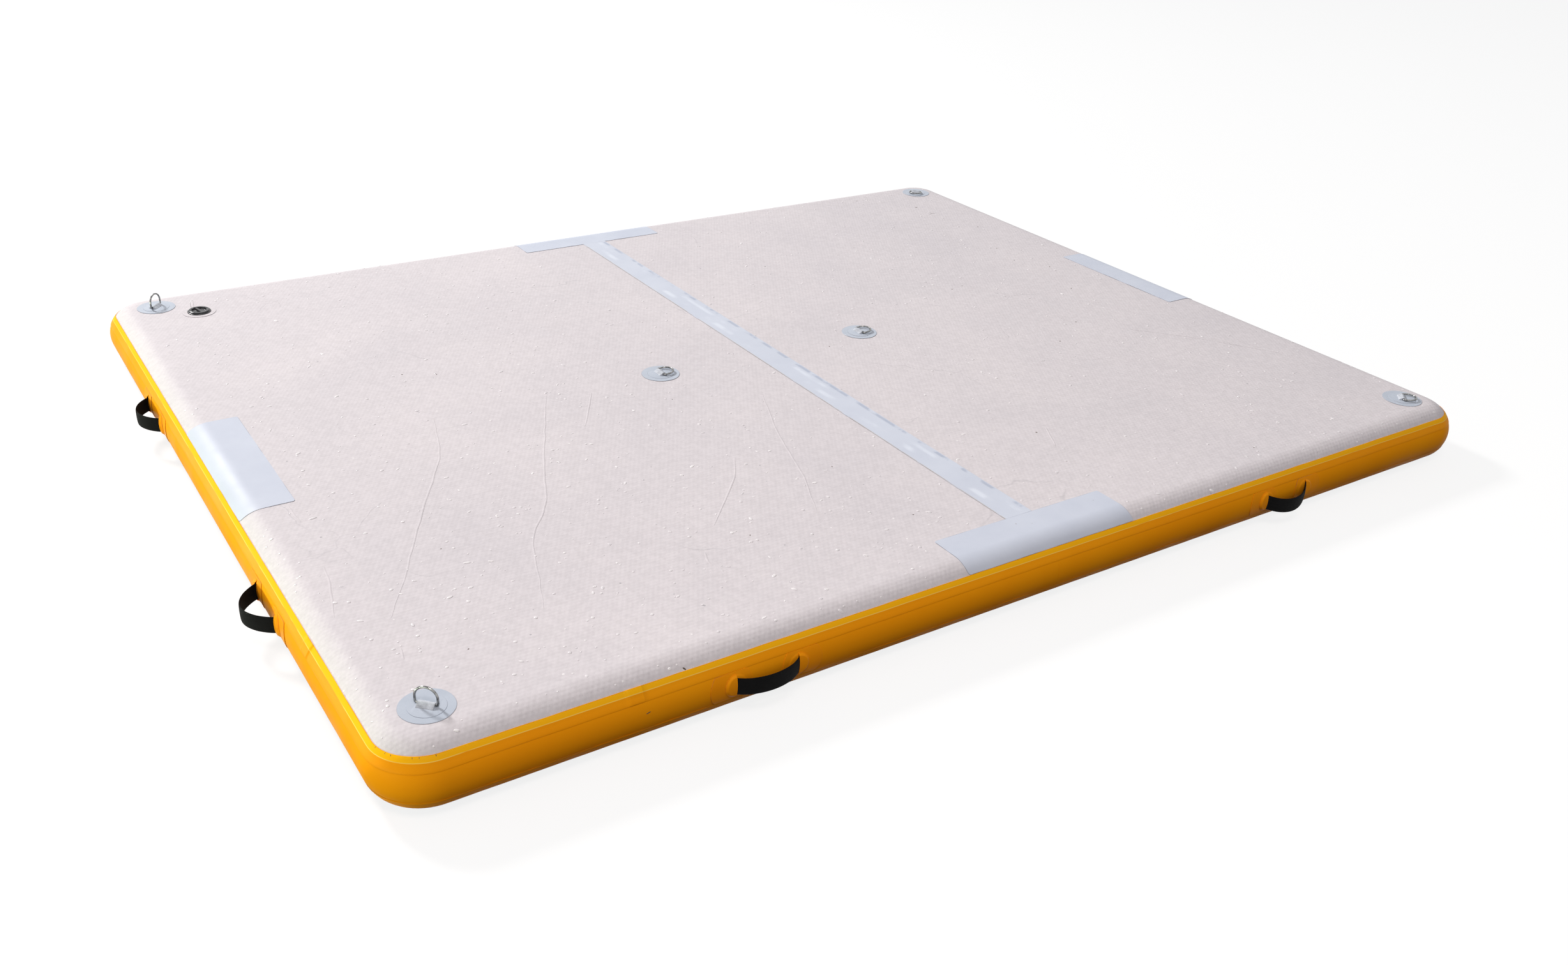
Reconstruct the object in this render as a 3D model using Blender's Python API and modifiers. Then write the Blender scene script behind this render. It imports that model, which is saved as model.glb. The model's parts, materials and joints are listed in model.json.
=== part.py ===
# Inflatable floating dock: a drop-stitch air chamber in two panels, with a rolled edge all round,
# six tie-down rings, eight webbing grab handles and an inflation valve.
# Units are metres, +Z is up, and the long side runs along X.
# The origin lies at the middle of the underside.

import math

import bmesh
import bpy
from mathutils import Matrix, Vector

# Chamber
DOCK_LENGTH = 3.048
DOCK_WIDTH = 2.438
DOCK_THICKNESS = 0.152
PLAN_CORNER_RADIUS = 0.115
PLAN_CORNER_SEGMENTS = 8
EDGE_FLAT = 0.001
EDGE_ROLL_SEGMENTS = 6
SKIN_THICKNESS = 0.0009
GAP = 0.0003

# Glued-on tapes and panels
TAPE_THICKNESS = 0.0008
RAIL_TAPE_TOP_ANGLE = math.radians(47.0)
RAIL_TAPE_WIDTH = 0.031
SEAM_STRIP_WIDTH = 0.080
PANEL_LENGTH = 0.490
END_PANEL_INSET = 0.146

# Drop-stitch core
CORE_INSET = 0.080
PLY_THICKNESS = 0.0006
YARN_ROW_THICKNESS = 0.0006
YARN_ROW_PITCH = 0.100

# Tie-down rings
RING_CORNER_INSET = 0.131
RING_CENTRE_X = 0.332
RING_WIRE_RADIUS = 0.0024
RING_INNER_WIDTH = 0.0389
RING_ARM_LENGTH = 0.0140
RING_CORNER_RADIUS = 0.0045
RING_PAD_RADIUS = 0.0515
RING_COVER_RADIUS = 0.0355
RING_COVER_RISE = 0.0023
RING_SLEEVE_WALL = 0.0019
RING_SLEEVE_LENGTH = 0.0330
RING_RUNNING_GAP = 0.0005
RING_BORE_GAP = 0.0003
RING_ARC_STEPS = 10
BAR_SIDES = 14
DISC_SIDES = 24
WALL_DISC_SIDES = 20
RINGS = (
    # name, place, bearing of the bar, lean from upright
    ("ring_near", (-1, -1), -45.0, 0.0),
    ("ring_left", (-1, 1), 45.0, 0.0),
    ("ring_far", (1, 1), -45.0, 86.0),
    ("ring_right", (1, -1), 45.0, 86.0),
    ("ring_centre_left", (-1, 0), 90.0, 86.0),
    ("ring_centre_right", (1, 0), 90.0, 86.0),
)

# Grab handles
HANDLE_SPAN = 0.143
HANDLE_LONG_SIDE_X = 0.764
HANDLE_SHORT_SIDE_Y = 0.520
STRAP_WIDTH = 0.038
STRAP_THICKNESS = 0.0025
STRAP_TAB_LENGTH = 0.014
STRAP_CLEARANCE = 0.0003
STRAP_STATIONS = 12
STRAP_FULLNESS = 0.75
END_PATCH_RADIUS = 0.0465
END_PATCH_OUTBOARD = 0.010
POCKET_WALL = 0.0010
POCKET_FLOOR = 0.0010
POCKET_ROOF = 0.0008
HANDLES = (
    # name, side, place along that side seen from outside, bow of the strap, droop of its middle
    ("handle_front_left", "front", -1, 0.024, 0.000),
    ("handle_front_right", "front", 1, 0.030, 0.012),
    ("handle_right_near", "right", -1, 0.050, 0.000),
    ("handle_right_far", "right", 1, 0.042, 0.000),
    ("handle_rear_right", "rear", -1, 0.024, 0.000),
    ("handle_rear_left", "rear", 1, 0.030, 0.012),
    ("handle_left_far", "left", -1, 0.042, 0.000),
    ("handle_left_near", "left", 1, 0.050, 0.000),
)

# Inflation valve
VALVE_INSET_X = 0.230
VALVE_INSET_Y = 0.218
VALVE_PATCH_REACH = 0.0135
FLANGE_REACH = 0.0037
FLANGE_THICKNESS = 0.0026
BOWL_RADIUS = 0.0217
BARREL_WALL = 0.0027
BARREL_DEPTH = 0.0340
SEAT_LEDGE = 0.0087
SEAT_THICKNESS = 0.0040
GROOVE_DEPTH = 0.0013
GROOVE_LIP = 0.0009
GROOVE_HEIGHT = 0.0028
NUT_WALL = 0.0058
NUT_HEIGHT = 0.0070
HUB_RADIUS = 0.0055
HUB_RISE = 0.0005
SPIDER_ARM_WIDTH = 0.0030
SPIDER_ARMS = 3
STEM_RADIUS = 0.0024
STEM_GAP = 0.0004
BUTTON_RADIUS = 0.0070
BUTTON_DEPTH = 0.0080
BUTTON_THICKNESS = 0.0040
SEAL_DISC_OVERLAP = 0.0030
SEAL_DISC_THICKNESS = 0.0030
SPRING_RADIUS = 0.0042
SPRING_WIRE_RADIUS = 0.0005
SPRING_TURNS = 5
SPRING_POINTS_PER_TURN = 9
CAP_SKIRT_WALL = 0.0016
CAP_THICKNESS = 0.0027
CAP_PLUG_GAP = 0.0004
CAP_PLUG_LENGTH = 0.0036
CAP_PLUG_WALL = 0.0013
CAP_WELL_DEPTH = 0.0045
CAP_WELL_LIP = 0.0014
CAP_GRIP_WIDTH = 0.0060
CAP_GRIP_BEARING = math.radians(-78.5)
CAP_SEAL_THICKNESS = 0.0007
CAP_SEAL_WIDTH = 0.0047
CAP_LUG_WIDTH = 0.0060
CAP_LUG_HEIGHT = 0.0020
CAP_LUG_REACH = 0.0009
TETHER_WIRE_RADIUS = 0.0008
TETHER_HEIGHT = 0.0220
TETHER_BEARINGS = (122.0, 104.0)
TURNED_STEPS = 24

# Colours
DECK_GREY = (0.72, 0.70, 0.71)
BASE_GREY = (0.40, 0.41, 0.43)
RAIL_YELLOW = (0.95, 0.62, 0.02)
PATCH_YELLOW = (0.88, 0.50, 0.02)
PANEL_GREY = (0.58, 0.62, 0.66)
WEBBING_BLACK = (0.012, 0.012, 0.013)
MOULDED_BLACK = (0.015, 0.015, 0.017)
YARN_WHITE = (0.80, 0.80, 0.78)
STEEL = (0.78, 0.77, 0.75)
SEAL_BLACK = (0.02, 0.02, 0.02)
TETHER_CLEAR = (0.85, 0.86, 0.86)

half_length = DOCK_LENGTH / 2
half_width = DOCK_WIDTH / 2
mid_height = DOCK_THICKNESS / 2
deck_height = DOCK_THICKNESS
edge_roll_radius = (DOCK_THICKNESS - EDGE_FLAT) / 2
facet_tilt = math.radians(90.0) / EDGE_ROLL_SEGMENTS / 2

for scene_object in list(bpy.data.objects):
    bpy.data.objects.remove(scene_object, do_unlink=True)

dock = bpy.data.collections.new("inflatable_floating_dock")
cutters = bpy.data.collections.new("cutters")
bpy.context.scene.collection.children.link(dock)
bpy.context.scene.collection.children.link(cutters)


def finish(obj, colour, roughness, metallic=0.0):
    """Gives a piece a material of its own."""
    material = bpy.data.materials.new(obj.name)
    material.use_nodes = True
    shader = material.node_tree.nodes["Principled BSDF"]
    shader.inputs["Base Color"].default_value = (*colour, 1.0)
    shader.inputs["Roughness"].default_value = roughness
    shader.inputs["Metallic"].default_value = metallic
    obj.data.materials.append(material)
    return obj


def place(name, data, collection=None):
    """Makes an object from a mesh, a curve or a bmesh."""
    if isinstance(data, bmesh.types.BMesh):
        mesh = bpy.data.meshes.new(name)
        data.to_mesh(mesh)
        data.free()
        mesh.shade_smooth()
        mesh.set_sharp_from_angle(angle=math.radians(32.0))
        data = mesh
    obj = bpy.data.objects.new(name, data)
    (collection or dock).objects.link(obj)
    return obj


def helper(name, data):
    """Makes a cutter or an addition that shapes another piece and isn't a piece itself."""
    obj = place(name, data, cutters)
    obj.hide_render = True
    obj.display_type = "WIRE"
    return obj


def thicken(obj, thickness, side):
    """Turns a surface into a sheet: side 1 grows outward, -1 inward and 0 both ways."""
    solid = obj.modifiers.new("Thickness", "SOLIDIFY")
    solid.thickness = thickness
    solid.offset = side
    solid.use_even_offset = True
    solid.use_quality_normals = True
    return obj


def combine(obj, other, operation):
    """Cuts, joins or intersects a piece with a helper."""
    boolean = obj.modifiers.new(operation.title(), "BOOLEAN")
    boolean.operation = operation
    boolean.solver = "EXACT"
    boolean.object = other
    return obj


def block(low, high):
    """A box between two corners."""
    bm = bmesh.new()
    bmesh.ops.create_cube(bm, size=1.0)
    size = [high[i] - low[i] for i in range(3)]
    middle = [(high[i] + low[i]) / 2 for i in range(3)]
    bmesh.ops.scale(bm, vec=size, verts=bm.verts)
    bmesh.ops.translate(bm, vec=middle, verts=bm.verts)
    return bm


def round_bar(radius, length, segments, matrix=None):
    """A cylinder centred on its own middle, along Z unless it is turned."""
    bm = bmesh.new()
    bmesh.ops.create_cone(
        bm, cap_ends=True, segments=segments, radius1=radius, radius2=radius, depth=length,
        matrix=matrix or Matrix.Identity(4))
    return bm


def keep(bm, point, direction):
    """Cuts a surface with a plane and keeps the side that the direction points to."""
    everything = bm.verts[:] + bm.edges[:] + bm.faces[:]
    bmesh.ops.bisect_plane(
        bm, geom=everything, dist=1e-7, plane_co=point, plane_no=direction, clear_inner=True)
    return bm


def keep_box(bm, low, high):
    """Keeps the part of a surface inside a box in plan."""
    keep(bm, (low[0], 0, 0), (1, 0, 0))
    keep(bm, (high[0], 0, 0), (-1, 0, 0))
    keep(bm, (0, low[1], 0), (0, 1, 0))
    keep(bm, (0, high[1], 0), (0, -1, 0))
    return bm


def chamber_form(offset):
    """The closed rounded slab whose surface lies outside the chamber's skin by the offset."""
    bm = block(
        (-half_length - offset, -half_width - offset, -offset),
        (half_length + offset, half_width + offset, deck_height + offset))
    upright = [e for e in bm.edges if abs(e.verts[0].co.z - e.verts[1].co.z) > mid_height]
    bmesh.ops.bevel(
        bm, geom=upright, offset=PLAN_CORNER_RADIUS + offset, offset_type="OFFSET",
        segments=PLAN_CORNER_SEGMENTS, profile=0.5, affect="EDGES", clamp_overlap=False)
    rims = [e for e in bm.edges if abs(e.verts[0].co.z - e.verts[1].co.z) < mid_height]
    bmesh.ops.bevel(
        bm, geom=rims, offset=edge_roll_radius + offset, offset_type="OFFSET",
        segments=EDGE_ROLL_SEGMENTS, profile=0.5, affect="EDGES", clamp_overlap=False)
    return bm


def roll_height(angle):
    """Height of the rolled edge where its surface has turned by this angle from the mid-height."""
    turned = EDGE_FLAT / 2 + edge_roll_radius * math.sin(abs(angle))
    return mid_height + math.copysign(turned, angle)


rail_tape_low_angle = RAIL_TAPE_TOP_ANGLE - RAIL_TAPE_WIDTH / edge_roll_radius
rail_tape_top = roll_height(RAIL_TAPE_TOP_ANGLE)
rail_tape_low = roll_height(rail_tape_low_angle)
lap_height = (rail_tape_top + rail_tape_low) / 2
layer_top = GAP + TAPE_THICKNESS

valve_x = -half_length + VALVE_INSET_X
valve_y = half_width - VALVE_INSET_Y
barrel_radius = BOWL_RADIUS + BARREL_WALL
valve_hole_radius = barrel_radius + GAP


# Skins of the chamber

def deck_sheet(name, side):
    """Half of the top skin, with its rolled edge down to the lap under the rail tape."""
    form = keep(chamber_form(0.0), (0, 0, lap_height + GAP / 2), (0, 0, 1))
    keep(form, (side * GAP / 2, 0, 0), (side, 0, 0))
    sheet = thicken(place(name, form), SKIN_THICKNESS, -1)
    return finish(sheet, DECK_GREY, 0.55)


def bottom_sheet(name, side):
    """Half of the bottom skin, the deck's mirror image."""
    low_lap = DOCK_THICKNESS - lap_height
    form = keep(chamber_form(0.0), (0, 0, low_lap - GAP / 2), (0, 0, -1))
    keep(form, (side * GAP / 2, 0, 0), (side, 0, 0))
    sheet = thicken(place(name, form), SKIN_THICKNESS, -1)
    return finish(sheet, BASE_GREY, 0.6)


def side_wall(name, side):
    """Half of the side band, which closes the chamber between the two skins."""
    form = keep(chamber_form(0.0), (0, 0, lap_height - GAP / 2), (0, 0, -1))
    keep(form, (0, 0, DOCK_THICKNESS - lap_height + GAP / 2), (0, 0, 1))
    keep(form, (side * GAP / 2, 0, 0), (side, 0, 0))
    wall = thicken(place(name, form), SKIN_THICKNESS, -1)
    return finish(wall, RAIL_YELLOW, 0.45)


def rail_tape(name, low, high):
    """A tape that runs all round the dock over one lap."""
    form = keep(chamber_form(GAP), (0, 0, low), (0, 0, 1))
    keep(form, (0, 0, high), (0, 0, -1))
    tape = thicken(place(name, form), TAPE_THICKNESS, 1)
    return finish(tape, RAIL_YELLOW, 0.4)


def edge_panel(name, outward):
    """A blank panel over the middle of one rolled edge, from the deck down to the rail tape."""
    along = Vector((abs(outward[1]), abs(outward[0]), 0))
    reach = half_length if outward[0] else half_width
    out = Vector((*outward, 0))
    form = keep(chamber_form(GAP), (0, 0, rail_tape_top + GAP), (0, 0, 1))
    keep(form, out * (reach - END_PANEL_INSET), out)
    keep(form, along * PANEL_LENGTH / 2, -along)
    keep(form, -along * PANEL_LENGTH / 2, along)
    panel = thicken(place(name, form), TAPE_THICKNESS, 1)
    return finish(panel, PANEL_GREY, 0.35)


def valve_hole(depth_low, depth_high, label):
    """A cutter for the round hole that the valve's barrel passes through."""
    middle = Matrix.Translation((valve_x, valve_y, (depth_low + depth_high) / 2))
    return helper(label, round_bar(valve_hole_radius, depth_high - depth_low, TURNED_STEPS, middle))


deck_left = deck_sheet("deck_sheet_left", -1)
deck_sheet("deck_sheet_right", 1)
bottom_sheet("bottom_sheet_left", -1)
bottom_sheet("bottom_sheet_right", 1)
side_wall("side_wall_left", -1)
side_wall("side_wall_right", 1)
rail_tape("upper_rail_tape", rail_tape_low, rail_tape_top)
rail_tape("lower_rail_tape", DOCK_THICKNESS - rail_tape_top, DOCK_THICKNESS - rail_tape_low)
edge_panel("front_panel", (0, -1))
edge_panel("rear_panel", (0, 1))
edge_panel("left_panel", (-1, 0))
edge_panel("right_panel", (1, 0))

hole_cutter = valve_hole(deck_height - 3 * SKIN_THICKNESS, deck_height + SKIN_THICKNESS, "deck_hole")
combine(deck_left, hole_cutter, "DIFFERENCE")

strip_end = half_width - END_PANEL_INSET - GAP
deck_strip = block(
    (-SEAM_STRIP_WIDTH / 2, -strip_end, deck_height + GAP),
    (SEAM_STRIP_WIDTH / 2, strip_end, deck_height + layer_top))
finish(place("deck_seam_strip", deck_strip), PANEL_GREY, 0.35)

inner_strip_end = half_width - CORE_INSET
inner_strip = block(
    (-SEAM_STRIP_WIDTH / 2, -inner_strip_end, SKIN_THICKNESS + GAP),
    (SEAM_STRIP_WIDTH / 2, inner_strip_end, SKIN_THICKNESS + layer_top))
finish(place("inner_seam_strip", inner_strip), BASE_GREY, 0.5)


# Drop-stitch core

core_bottom = SKIN_THICKNESS + GAP
core_top = deck_height - SKIN_THICKNESS - GAP
core_end_y = half_width - CORE_INSET
core_outer_x = half_length - CORE_INSET
core_inner_x = SEAM_STRIP_WIDTH / 2 + GAP


def yarn_row_places():
    """Distances of the yarn rows from the seam, laid out so that the valve stands between two rows."""
    first = -valve_x - YARN_ROW_PITCH / 2
    rows = []
    steps = int(DOCK_LENGTH / YARN_ROW_PITCH)
    for step in range(-steps, steps + 1):
        row = first + step * YARN_ROW_PITCH
        if core_inner_x + YARN_ROW_THICKNESS < row < core_outer_x - YARN_ROW_THICKNESS:
            rows.append(row)
    return rows


def drop_stitch_core(name, side):
    """Two plies held apart by rows of yarn, which stand for the thousands of threads between them."""
    inner = side * core_inner_x
    outer = side * core_outer_x
    bm = block(
        (min(inner, outer), -core_end_y, core_bottom), (max(inner, outer), core_end_y, core_top))
    corners = [
        e for e in bm.edges
        if abs(e.verts[0].co.z - e.verts[1].co.z) > mid_height and abs(e.verts[0].co.x - outer) < GAP]
    bmesh.ops.bevel(
        bm, geom=corners, offset=PLAN_CORNER_RADIUS - CORE_INSET, offset_type="OFFSET",
        segments=PLAN_CORNER_SEGMENTS, profile=0.5, affect="EDGES", clamp_overlap=False)
    core = place(name, bm)

    rows = yarn_row_places()
    starts = [core_inner_x - CORE_INSET / 4] + [row + YARN_ROW_THICKNESS / 2 for row in rows]
    ends = [row - YARN_ROW_THICKNESS / 2 for row in rows] + [core_outer_x + CORE_INSET / 4]
    tunnels = bmesh.new()
    for start, end in zip(starts, ends):
        low = (min(side * start, side * end), -half_width, core_bottom + PLY_THICKNESS)
        high = (max(side * start, side * end), half_width, core_top - PLY_THICKNESS)
        tunnel = block(low, high)
        mesh = bpy.data.meshes.new("tunnel")
        tunnel.to_mesh(mesh)
        tunnel.free()
        tunnels.from_mesh(mesh)
        bpy.data.meshes.remove(mesh)
    combine(core, helper(name + "_tunnels", tunnels), "DIFFERENCE")
    return finish(core, YARN_WHITE, 0.8)


core_left = drop_stitch_core("drop_stitch_core_left", -1)
drop_stitch_core("drop_stitch_core_right", 1)
ply_cutter = valve_hole(core_top - 3 * PLY_THICKNESS, core_top + PLY_THICKNESS, "ply_hole")
combine(core_left, ply_cutter, "DIFFERENCE")


# Tie-down rings

bar_height = deck_height + RING_COVER_RISE + RING_WIRE_RADIUS + RING_RUNNING_GAP
ring_half_width = RING_INNER_WIDTH / 2 + RING_WIRE_RADIUS


def ring_centre(spot):
    """Middle of a ring's bar in plan."""
    if spot[1] == 0:
        return Vector((spot[0] * RING_CENTRE_X, 0, 0))
    return Vector((
        spot[0] * (half_length - RING_CORNER_INSET), spot[1] * (half_width - RING_CORNER_INSET), 0))


def deck_disc(name, centre, radius, top, make):
    """A round patch that follows the deck and its rolled edge."""
    reach = radius + SKIN_THICKNESS * 5
    form = keep(chamber_form(GAP), (0, 0, mid_height), (0, 0, 1))
    keep_box(form, (centre.x - reach, centre.y - reach), (centre.x + reach, centre.y + reach))
    disc = thicken(make(name, form), top - GAP, 1)
    middle = Matrix.Translation((centre.x, centre.y, deck_height))
    outline = helper(name + "_outline", round_bar(radius, DOCK_THICKNESS, DISC_SIDES, middle))
    return combine(disc, outline, "INTERSECT")


def ring_pad(name, centre, bearing):
    """The round base patch, the smaller cover on it, and the webbing sleeve round the ring's bar."""
    pad = deck_disc(name, centre, RING_PAD_RADIUS, layer_top, place)
    cover = deck_disc(name + "_cover", centre, RING_COVER_RADIUS, RING_COVER_RISE, helper)
    turn = Matrix.Rotation(bearing, 4, "Z") @ Matrix.Rotation(math.radians(90.0), 4, "Y")
    at_bar = Matrix.Translation((centre.x, centre.y, bar_height)) @ turn
    bore_radius = RING_WIRE_RADIUS + RING_BORE_GAP
    sleeve = round_bar(bore_radius + RING_SLEEVE_WALL, RING_SLEEVE_LENGTH, BAR_SIDES, at_bar)
    bore = round_bar(bore_radius, RING_SLEEVE_LENGTH * 1.5, BAR_SIDES, at_bar)
    combine(pad, cover, "UNION")
    combine(pad, helper(name + "_sleeve", sleeve), "UNION")
    combine(pad, helper(name + "_bore", bore), "DIFFERENCE")
    return finish(pad, PANEL_GREY, 0.4)


def arc(centre, radius, start, end, steps):
    """Points on an arc in the ring's own plane, X across and Z up."""
    points = []
    for step in range(steps + 1):
        angle = math.radians(start + (end - start) * step / steps)
        points.append((centre[0] + radius * math.cos(angle), centre[1] + radius * math.sin(angle)))
    return points


def wire(name, points, radius, resolution, cyclic, make=place):
    """A bent wire along a list of points."""
    curve = bpy.data.curves.new(name, "CURVE")
    curve.dimensions = "3D"
    curve.bevel_depth = radius
    curve.bevel_resolution = resolution
    curve.use_fill_caps = True
    spline = curve.splines.new("POLY")
    spline.points.add(len(points) - 1)
    for target, point in zip(spline.points, points):
        target.co = (*point, 1.0)
    spline.use_cyclic_u = cyclic
    return make(name, curve)


def d_ring(name, centre, bearing, lean):
    """A D of round wire, whose straight bar lies on the hinge line through the object's origin."""
    corner = RING_CORNER_RADIUS
    right_foot = (ring_half_width - corner, corner)
    left_foot = (-right_foot[0], corner)
    outline = arc(right_foot, corner, -90.0, 0.0, 2)
    outline += arc((0, RING_ARM_LENGTH), ring_half_width, 0.0, 180.0, RING_ARC_STEPS)
    outline += arc(left_foot, corner, 180.0, 270.0, 2)
    points = [(x, 0.0, z) for x, z in outline]
    ring = wire(name, points, RING_WIRE_RADIUS, 2, True)
    ring.location = (centre.x, centre.y, bar_height)
    ring.rotation_euler = (lean, 0.0, bearing)
    return finish(ring, STEEL, 0.18, 1.0)


for ring_name, spot, bar_bearing, ring_lean in RINGS:
    where = ring_centre(spot)
    ring_pad(ring_name + "_pad", where, math.radians(bar_bearing))
    d_ring(ring_name, where, math.radians(bar_bearing), math.radians(ring_lean))


# Grab handles, each made as if on a wall that faces -Y, with its middle at the origin

half_span = HANDLE_SPAN / 2
tab_place = GAP + POCKET_FLOOR + STRAP_CLEARANCE + STRAP_THICKNESS / 2
pocket_rise = tab_place + STRAP_THICKNESS / 2 + STRAP_CLEARANCE + POCKET_ROOF
pocket_corner = Vector((STRAP_TAB_LENGTH + STRAP_CLEARANCE, STRAP_WIDTH / 2 + STRAP_CLEARANCE))
pocket_radius = pocket_corner.length + POCKET_WALL


def strap_surface(bow, droop, extra):
    """Middle surface of a bowed webbing strap and of the tabs that lie against the rolled wall."""
    stations = [-half_span - STRAP_TAB_LENGTH - extra]
    stations += [-half_span * math.cos(math.pi * i / STRAP_STATIONS) for i in range(STRAP_STATIONS + 1)]
    stations += [half_span + STRAP_TAB_LENGTH + extra]
    spaces = len(stations) - 1
    width = STRAP_WIDTH + 2 * extra
    bm = bmesh.new()
    bmesh.ops.create_grid(bm, x_segments=spaces, y_segments=4, size=0.5)
    for vertex in bm.verts:
        along = stations[round((vertex.co.x + 0.5) * spaces)]
        across = vertex.co.y * width
        share = min(abs(along) / half_span, 1.0)
        rise = math.sin(math.pi / 2 * (1.0 - share)) ** STRAP_FULLNESS
        wrap = max(0.0, share * 3.0 - 2.0) * math.tan(facet_tilt)
        out = tab_place + (bow - tab_place) * rise - abs(across) * wrap
        vertex.co = (along, -out, across - droop * rise)
    bmesh.ops.recalc_face_normals(bm, faces=bm.faces)
    return bm


def wall_shell(centre_x, reach, top):
    """A piece of the rolled wall's surface, raised by the gap and as thick as the given rise."""
    form = keep(chamber_form(GAP), (centre_x - reach, 0, 0), (1, 0, 0))
    keep(form, (centre_x + reach, 0, 0), (-1, 0, 0))
    keep(form, (0, -half_width + edge_roll_radius, 0), (0, -1, 0))
    keep(form, (0, 0, rail_tape_low - GAP), (0, 0, -1))
    keep(form, (0, 0, DOCK_THICKNESS - rail_tape_low + GAP), (0, 0, 1))
    bmesh.ops.translate(form, vec=(0, half_width, -mid_height), verts=form.verts)
    return form, top - GAP


def wall_disc(name, centre_x, radius, top, make):
    """A round patch glued on the rolled wall between the two rail tapes."""
    form, thickness = wall_shell(centre_x, radius * 1.2, top)
    disc = thicken(make(name, form), thickness, 1)
    turn = Matrix.Rotation(math.radians(90.0), 4, "X")
    flatten = Matrix.Diagonal((1, 1, math.sin(radius / edge_roll_radius) * edge_roll_radius / radius, 1))
    middle = Matrix.Translation((centre_x, 0, 0)) @ flatten @ turn
    outline = helper(name + "_outline", round_bar(radius, 2 * edge_roll_radius, WALL_DISC_SIDES, middle))
    combine(disc, outline, "INTERSECT")
    return disc, [outline]


def handle(name, side, spot, bow, droop):
    """One strap and the two patches that hold its ends."""
    turns = {"front": 0.0, "right": 90.0, "rear": 180.0, "left": -90.0}
    turn = math.radians(turns[side])
    along = HANDLE_LONG_SIDE_X if side in ("front", "rear") else HANDLE_SHORT_SIDE_Y
    reach = half_width if side in ("front", "rear") else half_length
    at_wall = Matrix.Rotation(turn, 4, "Z") @ Matrix.Translation((spot * along, -reach, mid_height))

    strap = place(name + "_strap", strap_surface(bow, droop, 0.0))
    thicken(strap, STRAP_THICKNESS, 0)
    strap.matrix_world = at_wall
    finish(strap, WEBBING_BLACK, 0.7)

    for end, label in ((-1, "left"), (1, "right")):
        patch_name = name + "_patch_" + label
        slit_x = end * half_span
        centre_x = slit_x + end * END_PATCH_OUTBOARD
        patch, parts = wall_disc(patch_name, centre_x, END_PATCH_RADIUS, layer_top, place)
        pocket, more = wall_disc(patch_name + "_pocket", slit_x, pocket_radius, pocket_rise, helper)
        room = helper(patch_name + "_room", strap_surface(bow, droop, STRAP_CLEARANCE))
        thicken(room, STRAP_THICKNESS + 2 * STRAP_CLEARANCE, 0)
        combine(patch, pocket, "UNION")
        combine(patch, room, "DIFFERENCE")
        for piece in [patch, pocket, room] + parts + more:
            piece.matrix_world = at_wall
        finish(patch, PATCH_YELLOW, 0.45)


for handle_settings in HANDLES:
    handle(*handle_settings)


# Inflation valve, with heights counted from the deck

flange_bottom = layer_top + GAP
flange_top = flange_bottom + FLANGE_THICKNESS
seat_bottom = -BARREL_DEPTH
seat_top = seat_bottom + SEAT_THICKNESS
groove_radius = BOWL_RADIUS + GROOVE_DEPTH
groove_top = flange_top - GROOVE_LIP
groove_bottom = groove_top - GROOVE_HEIGHT
cap_bottom = flange_top + GAP
cap_top = cap_bottom + CAP_THICKNESS
plug_radius = BOWL_RADIUS - CAP_PLUG_GAP
plug_bottom = flange_top - CAP_PLUG_LENGTH
well_floor = cap_top - CAP_WELL_DEPTH
seal_inner = plug_radius + CAP_SEAL_THICKNESS
seal_outer = seal_inner + CAP_SEAL_WIDTH
cap_radius = seal_outer + CAP_SKIRT_WALL
well_radius = plug_radius - CAP_PLUG_WALL
flange_radius = cap_radius + FLANGE_REACH
valve_patch_radius = flange_radius + VALVE_PATCH_REACH
seat_radius = BOWL_RADIUS - SEAT_LEDGE
seal_top = cap_bottom + CAP_SEAL_THICKNESS
button_bottom = -BUTTON_DEPTH - BUTTON_THICKNESS
hub_top = seat_top + HUB_RISE
disc_top = seat_bottom - GAP
disc_bottom = disc_top - SEAL_DISC_THICKNESS


def turned(name, profile, closed, make=place):
    """A turned shape: its profile of radius and height from the deck, revolved round the valve's axis."""
    mesh = bpy.data.meshes.new(name)
    count = len(profile)
    edges = [(i, i + 1) for i in range(count - 1)]
    if closed:
        edges.append((count - 1, 0))
    mesh.from_pydata([(radius, 0.0, height) for radius, height in profile], edges, [])
    obj = make(name, mesh)
    obj.location = (valve_x, valve_y, deck_height)
    screw = obj.modifiers.new("Turn", "SCREW")
    screw.steps = TURNED_STEPS
    screw.render_steps = TURNED_STEPS
    screw.use_merge_vertices = True
    screw.merge_threshold = 0.00001
    return obj


def ring_profile(inner, outer, bottom, top):
    """Profile of a plain flat ring."""
    return [(inner, top), (outer, top), (outer, bottom), (inner, bottom)]


def at_valve(obj, bearing=0.0):
    """Puts a piece on the valve's axis, turned by a bearing."""
    obj.location = (valve_x, valve_y, deck_height)
    obj.rotation_euler = (0.0, 0.0, bearing)
    return obj


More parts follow.
